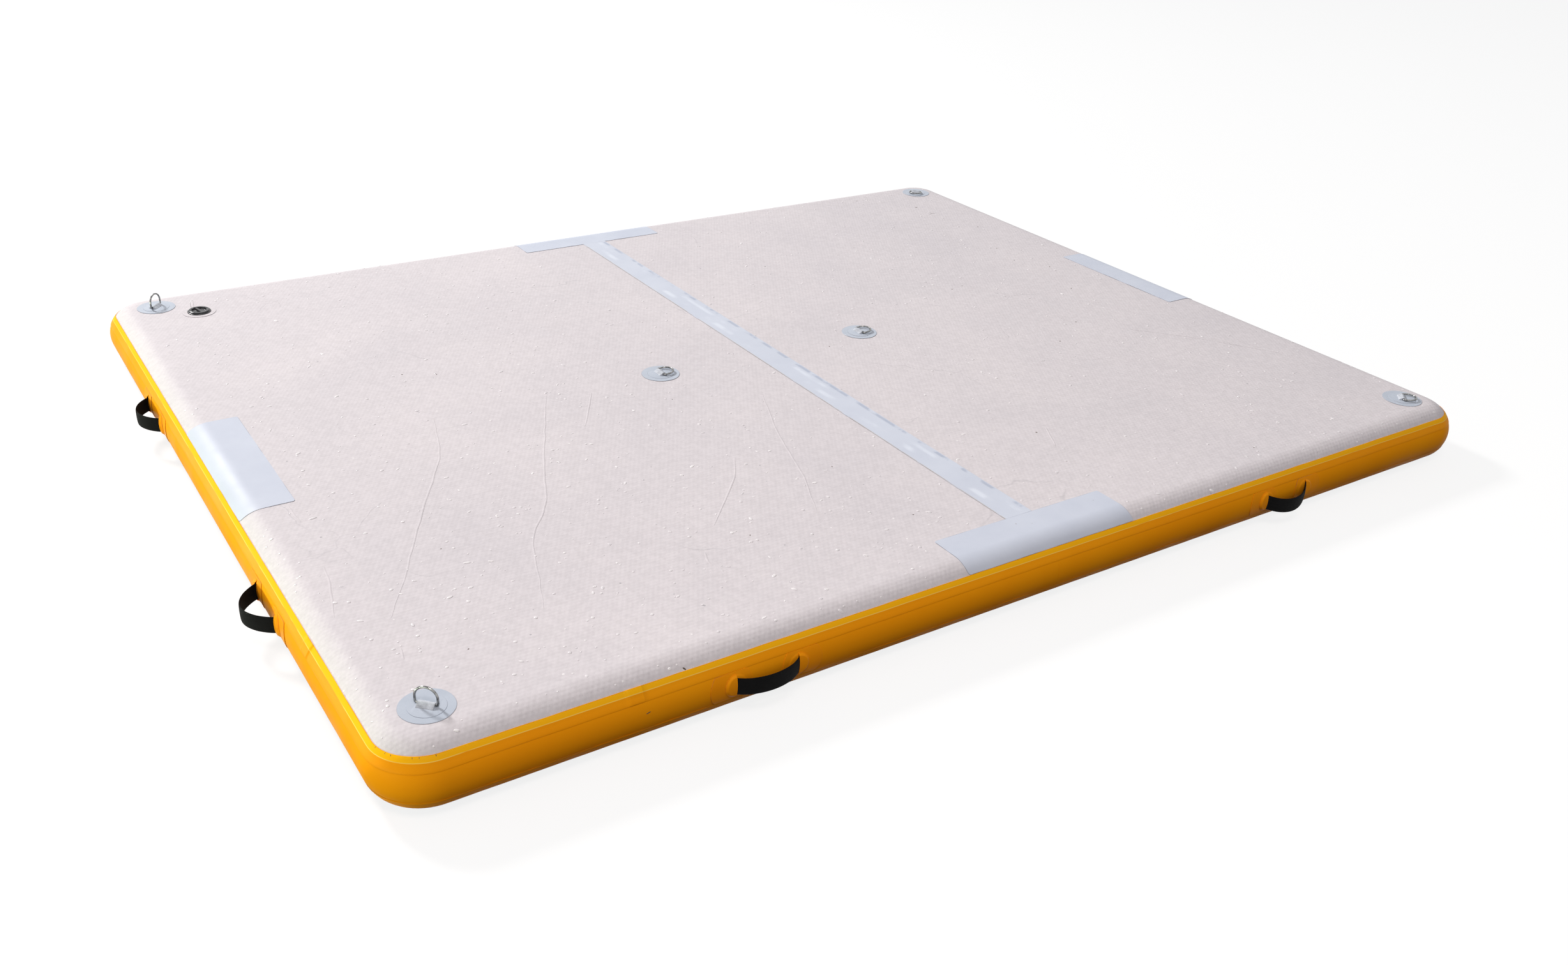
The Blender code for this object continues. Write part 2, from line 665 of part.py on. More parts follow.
def valve_body():
    """Flange, bowl and barrel, with a spider in the seat that guides the poppet's stem."""
    edge = FLANGE_THICKNESS / 3
    profile = [
        (BOWL_RADIUS, flange_top),
        (flange_radius - edge, flange_top),
        (flange_radius - edge / 3, flange_top - edge / 2),
        (flange_radius, flange_top - edge * 1.3),
        (flange_radius, flange_bottom),
        (barrel_radius, flange_bottom),
        (barrel_radius, seat_bottom),
        (seat_radius, seat_bottom),
        (seat_radius, seat_top),
        (BOWL_RADIUS, seat_top),
        (BOWL_RADIUS, groove_bottom),
        (groove_radius, groove_bottom),
        (groove_radius, groove_top),
        (BOWL_RADIUS, groove_top),
    ]
    body = turned("valve_body", profile, True)
    arm_end = (seat_radius + BOWL_RADIUS) / 2
    arm_low = seat_bottom + SEAT_THICKNESS / 8
    arm_high = seat_top - SEAT_THICKNESS / 8
    for index in range(SPIDER_ARMS):
        arm = block(
            (HUB_RADIUS / 2, -SPIDER_ARM_WIDTH / 2, arm_low), (arm_end, SPIDER_ARM_WIDTH / 2, arm_high))
        arm_helper = at_valve(helper("spider_arm_%d" % index, arm), math.tau * index / SPIDER_ARMS)
        combine(body, arm_helper, "UNION")
    hub_low = (seat_bottom + arm_low) / 2
    hub_middle = Matrix.Translation((0, 0, (hub_low + hub_top) / 2))
    hub = helper("spider_hub", round_bar(HUB_RADIUS, hub_top - hub_low, BAR_SIDES, hub_middle))
    combine(body, at_valve(hub), "UNION")
    stem_hole = helper("stem_hole", round_bar(STEM_RADIUS + STEM_GAP, SEAT_THICKNESS * 3, BAR_SIDES, hub_middle))
    combine(body, at_valve(stem_hole), "DIFFERENCE")
    notch_half = CAP_LUG_WIDTH / 2 + CAP_PLUG_GAP
    for index in (0, 1):
        notch = block(
            (BOWL_RADIUS * 0.8, -notch_half, groove_bottom + GROOVE_HEIGHT / 2),
            (groove_radius - GAP / 3, notch_half, flange_top + FLANGE_THICKNESS))
        bearing = CAP_GRIP_BEARING + math.pi * (index + 0.5)
        combine(body, at_valve(helper("entry_notch_%d" % index, notch), bearing), "DIFFERENCE")
    return finish(body, MOULDED_BLACK, 0.25)


def valve_cap():
    """Bayonet cap with a finger well on each side of its grip bar, and two lugs on its plug."""
    rim = CAP_THICKNESS / 3
    profile = [
        (0.0, well_floor),
        (well_radius, well_floor),
        (well_radius + GAP, cap_top - rim),
        (well_radius + CAP_WELL_LIP, cap_top),
        (cap_radius - rim * 2, cap_top),
        (cap_radius - rim / 2, cap_top - rim / 2),
        (cap_radius, cap_top - rim * 1.6),
        (cap_radius, cap_bottom),
        (seal_outer + GAP, cap_bottom),
        (seal_outer + GAP, seal_top + GAP),
        (plug_radius, seal_top + GAP),
        (plug_radius, plug_bottom),
        (0.0, plug_bottom),
    ]
    cap = turned("valve_cap", profile, False)
    cap.rotation_euler = (0.0, 0.0, CAP_GRIP_BEARING)
    grip_end = well_radius + CAP_WELL_LIP / 2
    grip = block(
        (-grip_end, -CAP_GRIP_WIDTH / 2, well_floor - GAP), (grip_end, CAP_GRIP_WIDTH / 2, cap_top - GAP))
    combine(cap, at_valve(helper("cap_grip", grip), CAP_GRIP_BEARING), "UNION")
    for index in (0, 1):
        lug = block(
            (plug_radius * 0.9, -CAP_LUG_WIDTH / 2, plug_bottom + GAP),
            (plug_radius + CAP_PLUG_GAP + CAP_LUG_REACH, CAP_LUG_WIDTH / 2, plug_bottom + GAP + CAP_LUG_HEIGHT))
        bearing = CAP_GRIP_BEARING + math.pi * index
        combine(cap, at_valve(helper("cap_lug_%d" % index, lug), bearing), "UNION")
    return finish(cap, MOULDED_BLACK, 0.2)


def valve_poppet():
    """Push button, stem and seal disc in one, which slides down to let air out."""
    edge = BUTTON_THICKNESS / 4
    disc_radius = seat_radius + SEAL_DISC_OVERLAP
    profile = [
        (0.0, -BUTTON_DEPTH),
        (BUTTON_RADIUS - edge, -BUTTON_DEPTH),
        (BUTTON_RADIUS, -BUTTON_DEPTH - edge),
        (BUTTON_RADIUS, button_bottom),
        (STEM_RADIUS, button_bottom),
        (STEM_RADIUS, disc_top),
        (disc_radius, disc_top),
        (disc_radius, disc_bottom),
        (0.0, disc_bottom),
    ]
    return finish(turned("valve_poppet", profile, False), MOULDED_BLACK, 0.35)


def poppet_spring():
    """Coil spring round the stem, between the hub and the button."""
    low = hub_top + GAP + SPRING_WIRE_RADIUS
    high = button_bottom - GAP - SPRING_WIRE_RADIUS
    count = SPRING_TURNS * SPRING_POINTS_PER_TURN
    points = []
    for i in range(count + 1):
        angle = math.tau * i / SPRING_POINTS_PER_TURN
        height = low + (high - low) * i / count
        points.append((SPRING_RADIUS * math.cos(angle), SPRING_RADIUS * math.sin(angle), height))
    spring = at_valve(wire("poppet_spring", points, SPRING_WIRE_RADIUS, 1, False))
    return finish(spring, STEEL, 0.3, 1.0)


def cap_tether():
    """Clear loop that stands on the flange beside the cap."""
    radius = (cap_radius + flange_radius) / 2
    feet = [Vector((radius * math.cos(math.radians(b)), radius * math.sin(math.radians(b)), 0))
            for b in TETHER_BEARINGS]
    middle = (feet[0] + feet[1]) / 2
    across = (feet[0] - feet[1]) / 2
    foot_height = flange_top + GAP
    bend = TETHER_HEIGHT - across.length
    points = [(*feet[0].xy, foot_height), (*feet[0].xy, foot_height + bend / 2)]
    for i in range(9):
        angle = math.pi * i / 8
        spot = middle + across * math.cos(angle)
        points.append((spot.x, spot.y, foot_height + bend + across.length * math.sin(angle)))
    points += [(*feet[1].xy, foot_height + bend / 2), (*feet[1].xy, foot_height)]
    tether = at_valve(wire("cap_tether", points, TETHER_WIRE_RADIUS, 2, False))
    return finish(tether, TETHER_CLEAR, 0.2)


patch_ring = ring_profile(valve_hole_radius, valve_patch_radius, GAP, layer_top)
finish(turned("valve_patch", patch_ring, True), DECK_GREY, 0.5)
valve_body()
nut_top = -(SKIN_THICKNESS + GAP + PLY_THICKNESS + GAP)
nut_ring = ring_profile(valve_hole_radius, barrel_radius + NUT_WALL, nut_top - NUT_HEIGHT, nut_top)
finish(turned("valve_backing_nut", nut_ring, True), MOULDED_BLACK, 0.4)
valve_poppet()
poppet_spring()
valve_cap()
seal_ring = ring_profile(seal_inner, seal_outer, cap_bottom, seal_top)
finish(turned("cap_seal", seal_ring, True), SEAL_BLACK, 0.6)
cap_tether()
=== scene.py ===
# Inflatable floating dock: the finish of every surface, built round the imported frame.
# Metres, +Z up, the long side along X, the origin at the middle of the underside.

import json
import math

import bmesh
import bpy
import numpy as np
from mathutils import Matrix, Vector


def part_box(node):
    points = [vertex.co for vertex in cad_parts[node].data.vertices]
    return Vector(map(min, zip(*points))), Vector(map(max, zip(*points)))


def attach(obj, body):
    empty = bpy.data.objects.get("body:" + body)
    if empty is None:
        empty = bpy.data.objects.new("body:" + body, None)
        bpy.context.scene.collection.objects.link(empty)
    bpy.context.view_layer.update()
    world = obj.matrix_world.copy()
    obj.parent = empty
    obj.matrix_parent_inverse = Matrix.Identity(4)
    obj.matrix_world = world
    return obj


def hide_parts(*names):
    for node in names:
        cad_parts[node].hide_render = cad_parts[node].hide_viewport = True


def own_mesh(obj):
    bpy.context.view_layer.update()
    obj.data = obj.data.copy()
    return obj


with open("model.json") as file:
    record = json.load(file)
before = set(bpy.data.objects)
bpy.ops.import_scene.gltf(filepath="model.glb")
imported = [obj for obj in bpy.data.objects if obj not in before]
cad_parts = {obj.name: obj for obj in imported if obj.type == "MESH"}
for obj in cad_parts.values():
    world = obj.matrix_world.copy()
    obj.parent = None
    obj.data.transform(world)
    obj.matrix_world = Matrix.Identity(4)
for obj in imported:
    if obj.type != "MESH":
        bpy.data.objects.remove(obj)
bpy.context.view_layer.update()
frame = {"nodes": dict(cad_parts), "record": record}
scene = bpy.context.scene
print("frame loaded,", len(frame["nodes"]), "nodes")


def addObject(name, data):
    obj = bpy.data.objects.new(name, data)
    scene.collection.objects.link(obj)
    return obj


# Camera, where the photograph was taken from: heading from +Y towards +X, pitch and roll in degrees

camera = {"position": (-2.002, -3.041, 1.6635), "heading": 34.53, "pitch": -27.87, "roll": 2.85,
          "lens": 31.90, "sensor": 36.0, "clip": (0.01, 200.0)}


def makeCamera():
    lens = bpy.data.cameras.new("camera")
    lens.lens = camera["lens"]
    lens.sensor_width = camera["sensor"]
    lens.clip_start, lens.clip_end = camera["clip"]
    heading, pitch, roll = (math.radians(camera[key]) for key in ("heading", "pitch", "roll"))
    scene.camera = addObject("camera", lens)
    scene.camera.matrix_world = (
        Matrix.Translation(camera["position"]) @ Matrix.Rotation(-heading, 4, "Z")
        @ Matrix.Rotation(math.pi / 2 + pitch, 4, "X") @ Matrix.Rotation(roll, 4, "Z"))


makeCamera()


# Chamber, taken from the frame, and the fixed sizes of what is glued on it

wallLow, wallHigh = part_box("side_wall_left")
halfLength = -wallLow[0]
halfWidth = wallHigh[1]
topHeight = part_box("deck_sheet_left")[1][2]

chamber = {
    "planCorner": 0.115,      # radius of the outline's corners
    "edgeFlat": 0.001,        # upright stretch at the widest line
    "skin": 0.0009,
    "gap": 0.0003,
    "tape": 0.0008,
    "tapeTop": math.radians(47.0),
    "tapeWidth": 0.031,
    "ridge": 0.012,           # from the tape's upper border to where the skin's edge shows through it
    "stripWidth": 0.080,
    "panelLength": 0.490,
    "panelInset": 0.146,
    "panelCorner": 0.006,
}

gap = chamber["gap"]
layerTop = gap + chamber["tape"]
midHeight = topHeight / 2
rollRadius = (topHeight - chamber["edgeFlat"]) / 2
rollArc = rollRadius * math.pi / 2
straightX = halfLength - chamber["planCorner"]
straightY = halfWidth - chamber["planCorner"]
quarter = chamber["planCorner"] * math.pi / 2
tapeLow = chamber["tapeTop"] - chamber["tapeWidth"] / rollRadius
lapAngle = (chamber["tapeTop"] + tapeLow) / 2

# The outline runs anticlockwise from the middle of the front: stretches, corner centres and bearings
knots = np.cumsum([0, straightX, quarter, 2 * straightY, quarter, 2 * straightX,
                   quarter, 2 * straightY, quarter, straightX])
knotX = straightX * np.array([0, 1, 1, 1, 1, -1, -1, -1, -1, 0])
knotY = straightY * np.array([-1, -1, -1, 1, 1, 1, 1, -1, -1, -1])
knotTurn = np.radians([-90, -90, 0, 0, 90, 90, 180, 180, 270, 270])
perimeter = knots[-1]
sideMiddle = {"front": 0.0, "right": (knots[2] + knots[3]) / 2,
              "rear": perimeter / 2, "left": (knots[6] + knots[7]) / 2}


def pile(*parts):
    # arrays stretched to one shape and stacked along a new last axis
    return np.stack(np.broadcast_arrays(*parts), -1)


def runAlong(points):
    # distance along a row of points
    return np.concatenate([[0], np.cumsum(np.linalg.norm(np.diff(points, axis=0), axis=1))])


def smooth(t):
    t = np.clip(t, 0.0, 1.0)
    return t * t * (3.0 - 2.0 * t)


def signedPower(value, power):
    return np.sign(value) * np.abs(value) ** power


def turnedPlan(centre, bearing, a, b):
    # plan place of a local point, turned by a bearing round a centre
    cosine, sine = math.cos(bearing), math.sin(bearing)
    return centre[0] + a * cosine - b * sine, centre[1] + a * sine + b * cosine


def outlineAt(along):
    # point and outward normal of the plan outline at a distance along it: corner centre + radius x normal
    along = np.mod(along, perimeter)
    turn = np.interp(along, knots, knotTurn)
    normal = pile(np.cos(turn), np.sin(turn))
    centre = pile(np.interp(along, knots, knotX), np.interp(along, knots, knotY))
    return centre + chamber["planCorner"] * normal, normal


def edgePoint(along, angle, rise):
    # point of the rolled edge: in from the outline by the roll,
    # then out along radius x cos and up by radius x sin
    along, angle, rise = np.broadcast_arrays(along, angle, rise)
    base, normal = outlineAt(along)
    radius = rollRadius + rise
    out = radius * np.cos(angle) - rollRadius
    flat = chamber["edgeFlat"] / 2 * np.clip(angle / 0.01, -1, 1)
    height = midHeight + flat + radius * np.sin(angle)
    return np.concatenate([base + normal * out[..., None], height[..., None]], -1)


def onRoll(along, arc, rise):
    # as edgePoint, by the arc from mid-height
    return edgePoint(along, arc / rollRadius, rise)


def overEdge(along, arc, rise):
    # as onRoll, but the arc goes on over the deck: past a quarter turn it runs inward
    along, arc, rise = np.broadcast_arrays(along, arc, rise)
    point = onRoll(along, np.minimum(arc, rollArc), rise)
    inward = np.maximum(arc - rollArc, 0.0)
    point[..., :2] -= outlineAt(along)[1] * inward[..., None]
    return point


def onDeck(x, y, rise):
    # a flat patch point laid on the deck: past the core's outline it wraps round the roll without stretch
    dx = np.maximum(np.abs(x) - straightX, 0.0)
    dy = np.maximum(np.abs(y) - straightY, 0.0)
    distance = np.hypot(dx, dy)
    past = np.maximum(distance - (chamber["planCorner"] - rollRadius), 0.0)
    angle = past / rollRadius
    share = (past - (rollRadius + rise) * np.sin(angle)) / np.maximum(distance, 1e-9)
    height = topHeight - rollRadius + (rollRadius + rise) * np.cos(angle)
    return pile(x - np.sign(x) * dx * share, y - np.sign(y) * dy * share, height)


def upsideDown(points):
    return points * np.array([1.0, 1.0, -1.0]) + np.array([0.0, 0.0, topHeight])


def ripple(x, y, wavelength, seed, count=7):
    # sum of plane waves in random directions, from -1 to 1
    draw = np.random.default_rng(seed)
    bearing = draw.uniform(0, math.tau, count)
    length = wavelength * draw.uniform(0.6, 1.6, count)
    phase = draw.uniform(0, math.tau, count)
    total = 0.0
    for b, l, p in zip(bearing, length, phase):
        total = total + np.sin((x * math.cos(b) + y * math.sin(b)) * math.tau / l + p)
    return total / count


def closedWave(along, counts, seed):
    # a wander that closes on itself round the outline, from -1 to 1
    draw = np.random.default_rng(seed)
    total = 0.0
    for count in counts:
        total = total + np.sin(along * math.tau * count / perimeter + draw.uniform(0, math.tau))
    return total / len(counts)


# Meshes from grids of points

def gridMesh(name, grids, sharpAngle=38.0):
    # one mesh from several grids, each (points, uv, distance from the border of its sheet, turned over);
    # doubles are merged, and creases and open borders are marked sharp
    points, quads, uvs, edges, first = [], [], [], [], 0
    for grid, uv, edge, flip in grids:
        rows, columns = grid.shape[:2]
        index = first + np.arange(rows * columns).reshape(rows, columns)
        faces = pile(index[:-1, :-1], index[:-1, 1:], index[1:, 1:], index[1:, :-1]).reshape(-1, 4)
        quads.append(faces[:, ::-1] if flip else faces)
        points.append(grid.reshape(-1, 3))
        uvs.append(uv.reshape(-1, 2))
        edges.append(np.broadcast_to(edge, (rows, columns)).ravel())
        first += rows * columns
    points, quads, uvs, edges = (np.concatenate(part) for part in (points, quads, uvs, edges))
    mesh = bpy.data.meshes.new(name)
    mesh.vertices.add(len(points))
    mesh.vertices.foreach_set("co", points.astype(np.float32).ravel())
    mesh.loops.add(quads.size)
    mesh.loops.foreach_set("vertex_index", quads.astype(np.int32).ravel())
    mesh.polygons.add(len(quads))
    mesh.polygons.foreach_set("loop_start", np.arange(0, quads.size, 4, dtype=np.int32))
    layer = mesh.uv_layers.new(name="fabric")
    layer.data.foreach_set("uv", uvs[quads.ravel()].astype(np.float32).ravel())
    attribute = mesh.attributes.new("edge", "FLOAT", "POINT")
    attribute.data.foreach_set("value", edges.astype(np.float32).ravel())
    mesh.update(calc_edges=True)
    bm = bmesh.new()
    bm.from_mesh(mesh)
    bmesh.ops.remove_doubles(bm, verts=bm.verts, dist=2e-6)
    bmesh.ops.dissolve_degenerate(bm, dist=1e-7, edges=bm.edges)
    bm.to_mesh(mesh)
    bm.free()
    shade(mesh, sharpAngle)
    uses = np.zeros(len(mesh.loops), dtype=np.int32)
    mesh.loops.foreach_get("edge_index", uses)
    border = np.bincount(uses, minlength=len(mesh.edges)) == 1
    sharp = np.zeros(len(mesh.edges), dtype=bool)
    mesh.edges.foreach_get("use_edge_sharp", sharp)
    mesh.edges.foreach_set("use_edge_sharp", sharp | border)
    return mesh


def shade(mesh, sharpAngle):
    mesh.shade_smooth()
    mesh.set_sharp_from_angle(angle=math.radians(sharpAngle))


def addPiece(name, grids, material, node=None, body="dock", sharpAngle=38.0):
    mesh = gridMesh(name, grids, sharpAngle)
    mesh.materials.append(material)
    obj = addObject(name, mesh)
    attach(obj, body)
    if node:
        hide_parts(node)
    return obj


def addWall(obj, thickness):
    # gives an open surface its wall, grown inward
    solid = obj.modifiers.new("Wall", "SOLIDIFY")
    solid.thickness = thickness
    solid.offset = -1.0
    solid.use_even_offset = True
    return obj


def cutWith(obj, grid, sharpAngle, operation):
    # Boolean with a helper mesh, applied at once together with the wall
    helper = addObject("helper", gridMesh("helper", [grid], sharpAngle))
    boolean = obj.modifiers.new("Cut", "BOOLEAN")
    boolean.operation = operation
    boolean.solver = "EXACT"
    boolean.object = helper
    depsgraph = bpy.context.evaluated_depsgraph_get()
    mesh = bpy.data.meshes.new_from_object(
        obj.evaluated_get(depsgraph), preserve_all_data_layers=True, depsgraph=depsgraph)
    obj.modifiers.clear()
    obj.data = mesh
    bpy.data.objects.remove(helper, do_unlink=True)


def sweptGrid(path, side, radius, steps, squareEnd=0.00035):
    # a round wire: circles of the given radius square to a path, whose ends close with an eased rim
    tangent = np.gradient(path, axis=0)
    tangent /= np.linalg.norm(tangent, axis=1)[:, None]
    centres = np.concatenate([
        path[:1], path[:1], path[:1] + tangent[:1] * squareEnd, path[1:-1],
        path[-1:] - tangent[-1:] * squareEnd, path[-1:], path[-1:]])
    scales = np.concatenate([[0, 0.85, 1], np.ones(len(path) - 2), [1, 0.85, 0]])
    tangents = np.concatenate([tangent[[0, 0, 0]], tangent[1:-1], tangent[[-1, -1, -1]]])
    across = np.cross(side, tangents)
    turn = np.linspace(0, math.tau, steps + 1)[None, :, None]
    ring = np.cos(turn) * across[:, None] + np.sin(turn) * side
    uv = pile(runAlong(centres)[:, None], turn[:, :, 0] * radius)
    return centres[:, None] + radius * scales[:, None, None] * ring, uv, 1.0, False


def turnedGrid(profile, centre, steps=72, bearing=0.0):
    # a profile of radius and height turned round an upright axis
    profile = np.asarray(profile, float)
    turn = np.linspace(0, math.tau, steps + 1)[None] + bearing
    radius = profile[:, :1]
    points = pile(centre[0] + radius * np.cos(turn), centre[1] + radius * np.sin(turn),
                  centre[2] + profile[:, 1:])
    return points, pile(turn * 0.03, runAlong(profile)[:, None]), 1.0, True


# Nodes: each helper finds its tree from the sockets it is given

def addNode(tree, kind, inputs=None, **settings):
    # a node whose inputs take sockets, numbers, or colours as red, green and blue
    made = tree.nodes.new(kind)
    for key, value in settings.items():
        setattr(made, key, value)
    for key, value in (inputs or {}).items():
        socket = made.inputs[key]
        if isinstance(value, bpy.types.NodeSocket):
            tree.links.new(value, socket)
        else:
            socket.default_value = (*value, 1.0) if socket.type == "RGBA" else value
    return made


def feed(value, socket):
    socket.id_data.links.new(value, socket)


def treeOf(*values):
    return next(value.id_data for value in values if isinstance(value, bpy.types.NodeSocket))


def maths(operation, a, b=0.0, clamp=False):
    tree = treeOf(a, b)
    return addNode(tree, "ShaderNodeMath", {0: a, 1: b}, operation=operation, use_clamp=clamp).outputs[0]


def plus(a, b, clamp=False):
    return maths("ADD", a, b, clamp)


def minus(a, b, clamp=False):
    return maths("SUBTRACT", a, b, clamp)


def times(a, b):
    return maths("MULTIPLY", a, b)


def over(a, b):
    return maths("DIVIDE", a, b)


def vectors(operation, a, b, output="Vector"):
    inputs = {0: a, "Scale" if operation == "SCALE" else 1: b}
    return addNode(treeOf(a, b), "ShaderNodeVectorMath", inputs, operation=operation).outputs[output]


def ramp(value, low, high, bottom=0.0, top=1.0):
    # eased step of a value between two levels
    limits = {"Value": value, "From Min": low, "From Max": high, "To Min": bottom, "To Max": top}
    made = addNode(value.id_data, "ShaderNodeMapRange", limits, interpolation_type="SMOOTHSTEP")
    return made.outputs["Result"]


def mixColour(factor, a, b, blend="MIX"):
    inputs = {0: factor, 6: a, 7: b}
    made = addNode(treeOf(factor, a, b), "ShaderNodeMix", inputs, data_type="RGBA", blend_type=blend)
    return made.outputs[2]


def layOver(colour, mask, strength, paint):
    # paint laid over a colour where a mask is high
    return mixColour(times(mask, strength), colour, paint)


def noise(vector, scale, detail=2.0, roughness=0.5, output="Fac"):
    inputs = {"Vector": vector, "Scale": scale, "Detail": detail, "Roughness": roughness}
    return addNode(vector.id_data, "ShaderNodeTexNoise", inputs).outputs[output]


# Shader groups, each built once from a formula and placed with its own values

def makeGroup(name, formula, **inputs):
    # the formula takes the group's inputs: numbers, colours or, where they are None, vectors
    tree = bpy.data.node_groups.new(name, "ShaderNodeTree")
    for label, value in inputs.items():
        kind = "Vector" if value is None else "Color" if isinstance(value, tuple) else "Float"
        socket = tree.interface.new_socket(label, in_out="INPUT", socket_type="NodeSocket" + kind)
        if kind == "Float":
            socket.default_value = value
    results = formula(*tree.nodes.new("NodeGroupInput").outputs[:len(inputs)])
    for label, value in results.items():
        kind = "Color" if value.type == "RGBA" else "Float"
        tree.interface.new_socket(label, in_out="OUTPUT", socket_type="NodeSocket" + kind)
    out = tree.nodes.new("NodeGroupOutput").inputs
    for label, value in results.items():
        feed(value, out[label])
    return tree


def placeGroup(group, vector, **inputs):
    inputs["Vector"] = vector
    return addNode(vector.id_data, "ShaderNodeGroup", inputs, node_tree=group).outputs


def grainFormula(vector, scale):
    # embossed vinyl grain: fine noise over a coarser one
    fine = noise(vector, scale, 2.0, 0.6)
    coarse = noise(vector, times(scale, 0.22))
    return {"Height": plus(times(fine, 0.6), times(coarse, 0.4))}


def mottleFormula(vector, scale, contrast, first, second):
    # cloudy change between two colours
    spread = times(minus(noise(vector, scale, 5.0, 0.62), 0.5), plus(times(contrast, 4.0), 1.0))
    mask = plus(spread, 0.5, clamp=True)
    return {"Color": mixColour(mask, first, second), "Mask": mask}


def specksFormula(vector, scale, size, share):
    # scattered round dots: in a share of the cells, those points nearer than a size to the cell's own point
    cells = addNode(vector.id_data, "ShaderNodeTexVoronoi", {"Vector": vector, "Scale": scale}).outputs
    pick = addNode(vector.id_data, "ShaderNodeSeparateColor", {"Color": cells["Color"]}).outputs
    near = minus(1.0, over(cells["Distance"], times(size, plus(pick[1], 0.4))), clamp=True)
    dome = times(near, maths("LESS_THAN", pick[0], share))
    return {"Mask": ramp(dome, 0.05, 0.45), "Height": dome}


def creasesFormula(vector, scale, width, cover):
    # long thin wandering lines: warped cell borders, kept only where a broad noise is high
    warp = vectors("SUBTRACT", noise(vector, 5.0, 3.0, output="Color"), (0.5, 0.5, 0.5))
    spot = vectors("ADD", vector, vectors("SCALE", warp, 0.16))
    cells = addNode(vector.id_data, "ShaderNodeTexVoronoi", {"Vector": spot, "Scale": scale},
                    feature="DISTANCE_TO_EDGE").outputs
    line = minus(1.0, over(cells["Distance"], width), clamp=True)
    return {"Mask": times(line, ramp(noise(vector, 3.3), cover, plus(cover, 0.12)))}


def brokenLineFormula(vector, value, centre, width, solid, scale, cover, fade):
    # a line of a half width where a value is at its centre, full over its solid share,
    # worn where a noise is low
    near = ramp(maths("ABSOLUTE", minus(value, centre)), times(width, solid), width, 1.0, 0.0)
    return {"Mask": times(near, ramp(noise(vector, scale, 3.0), cover, plus(cover, fade)))}


def weaveFormula(vector, pitch):
    # webbing: ribs along the length crossed by slanting picks, each a rounded wave of the strap's own metres
    def wave(turns):
        return maths("ABSOLUTE", maths("SINE", times(turns, 0.5)))

    part = addNode(vector.id_data, "ShaderNodeSeparateXYZ", {"Vector": vector}).outputs
    turns = over(math.tau, pitch)
    slant = plus(times(part["X"], turns), times(maths("PINGPONG", part["Y"], 0.0048), turns))
    height = plus(times(wave(times(part["Y"], turns)), 0.45), times(wave(slant), 0.55))
    return {"Height": height, "Mask": ramp(height, 0.2, 0.8)}


def latticeFormula(vector, pitch):
    # dimples where the threads hold the skin: cosines of three rows of waves sixty degrees apart, averaged
    turns = over(math.tau, pitch)
    total = 0.0
    for bearing in (-math.pi / 6, math.pi / 6, math.pi / 2):
        row = vectors("DOT_PRODUCT", vector, (math.cos(bearing), math.sin(bearing), 0.0), "Value")
        total = plus(maths("COSINE", times(row, turns)), total)
    return {"Height": over(total, 3.0)}


black = (0.0, 0.0, 0.0)
white = (1.0, 1.0, 1.0)
grain = makeGroup("vinylGrain", grainFormula, Vector=None, Scale=500.0)
mottle = makeGroup("mottle", mottleFormula, Vector=None, Scale=8.0, Contrast=0.5, First=black, Second=black)
specks = makeGroup("specks", specksFormula, Vector=None, Scale=60.0, Size=0.12, Share=0.3)
creases = makeGroup("creases", creasesFormula, Vector=None, Scale=2.0, Width=0.004, Cover=0.5)
brokenLine = makeGroup("brokenLine", brokenLineFormula, Vector=None, Value=0.0, Centre=0.0, Width=0.001,
                       Solid=0.2, Scale=14.0, Cover=0.4, Fade=0.14)
weave = makeGroup("weave", weaveFormula, Vector=None, Pitch=0.0016)
lattice = makeGroup("threadLattice", latticeFormula, Vector=None, Pitch=0.010)


# Materials

def startMaterial(name, roughness, specular=0.5, **sockets):
    # the material, its shader's inputs, and the Object and UV coordinates
    material = bpy.data.materials.new(name)
    material.use_nodes = True
    shader = material.node_tree.nodes["Principled BSDF"].inputs
    shader["Roughness"].default_value = roughness
    shader["Specular IOR Level"].default_value = specular
    for label, value in sockets.items():
        shader[label].default_value = value
    coords = addNode(material.node_tree, "ShaderNodeTexCoord").outputs
    return material, shader, coords["Object"], coords["UV"]


def finishMaterial(shader, colour, height, depth, roughness=None):
    feed(colour, shader["Base Color"])
    bump = addNode(colour.id_data, "ShaderNodeBump", {"Height": height, "Distance": depth})
    feed(bump.outputs["Normal"], shader["Normal"])
    if roughness is not None:
        feed(roughness, shader["Roughness"])


paints = {
    "deckLight": (0.695, 0.650, 0.665), "deckDark": (0.635, 0.598, 0.620),
    "dropHighlight": (0.82, 0.79, 0.79), "darkSpeckAndCreaseShade": (0.36, 0.35, 0.37),
    "yellowLight": (0.98, 0.370, 0.006), "yellowDark": (0.96, 0.335, 0.005), "tapeUpper": (1.0, 0.50, 0.008),
    "tapeRidgeHighlight": (1.0, 0.72, 0.16), "tapeEdgeRed": (0.72, 0.20, 0.012),
    "patchLight": (0.97, 0.350, 0.006), "patchDark": (0.94, 0.315, 0.005),
    "panelLight": (0.59, 0.625, 0.71), "panelDark": (0.54, 0.575, 0.665),
    "padLight": (0.49, 0.535, 0.61), "padDark": (0.43, 0.475, 0.55),
    "baseLight": (0.42, 0.43, 0.45), "baseDark": (0.34, 0.35, 0.37),
    "stripReflection": (0.70, 0.74, 0.82), "stripEdgeShade": (0.36, 0.40, 0.50), "glueLine": (0.42, 0.35, 0.27),
    "outlineShadow": (0.24, 0.25, 0.29), "dirtAndRimShade": (0.20, 0.14, 0.085),
    "lint": (0.55, 0.55, 0.53), "dust": (0.45, 0.44, 0.42),
}
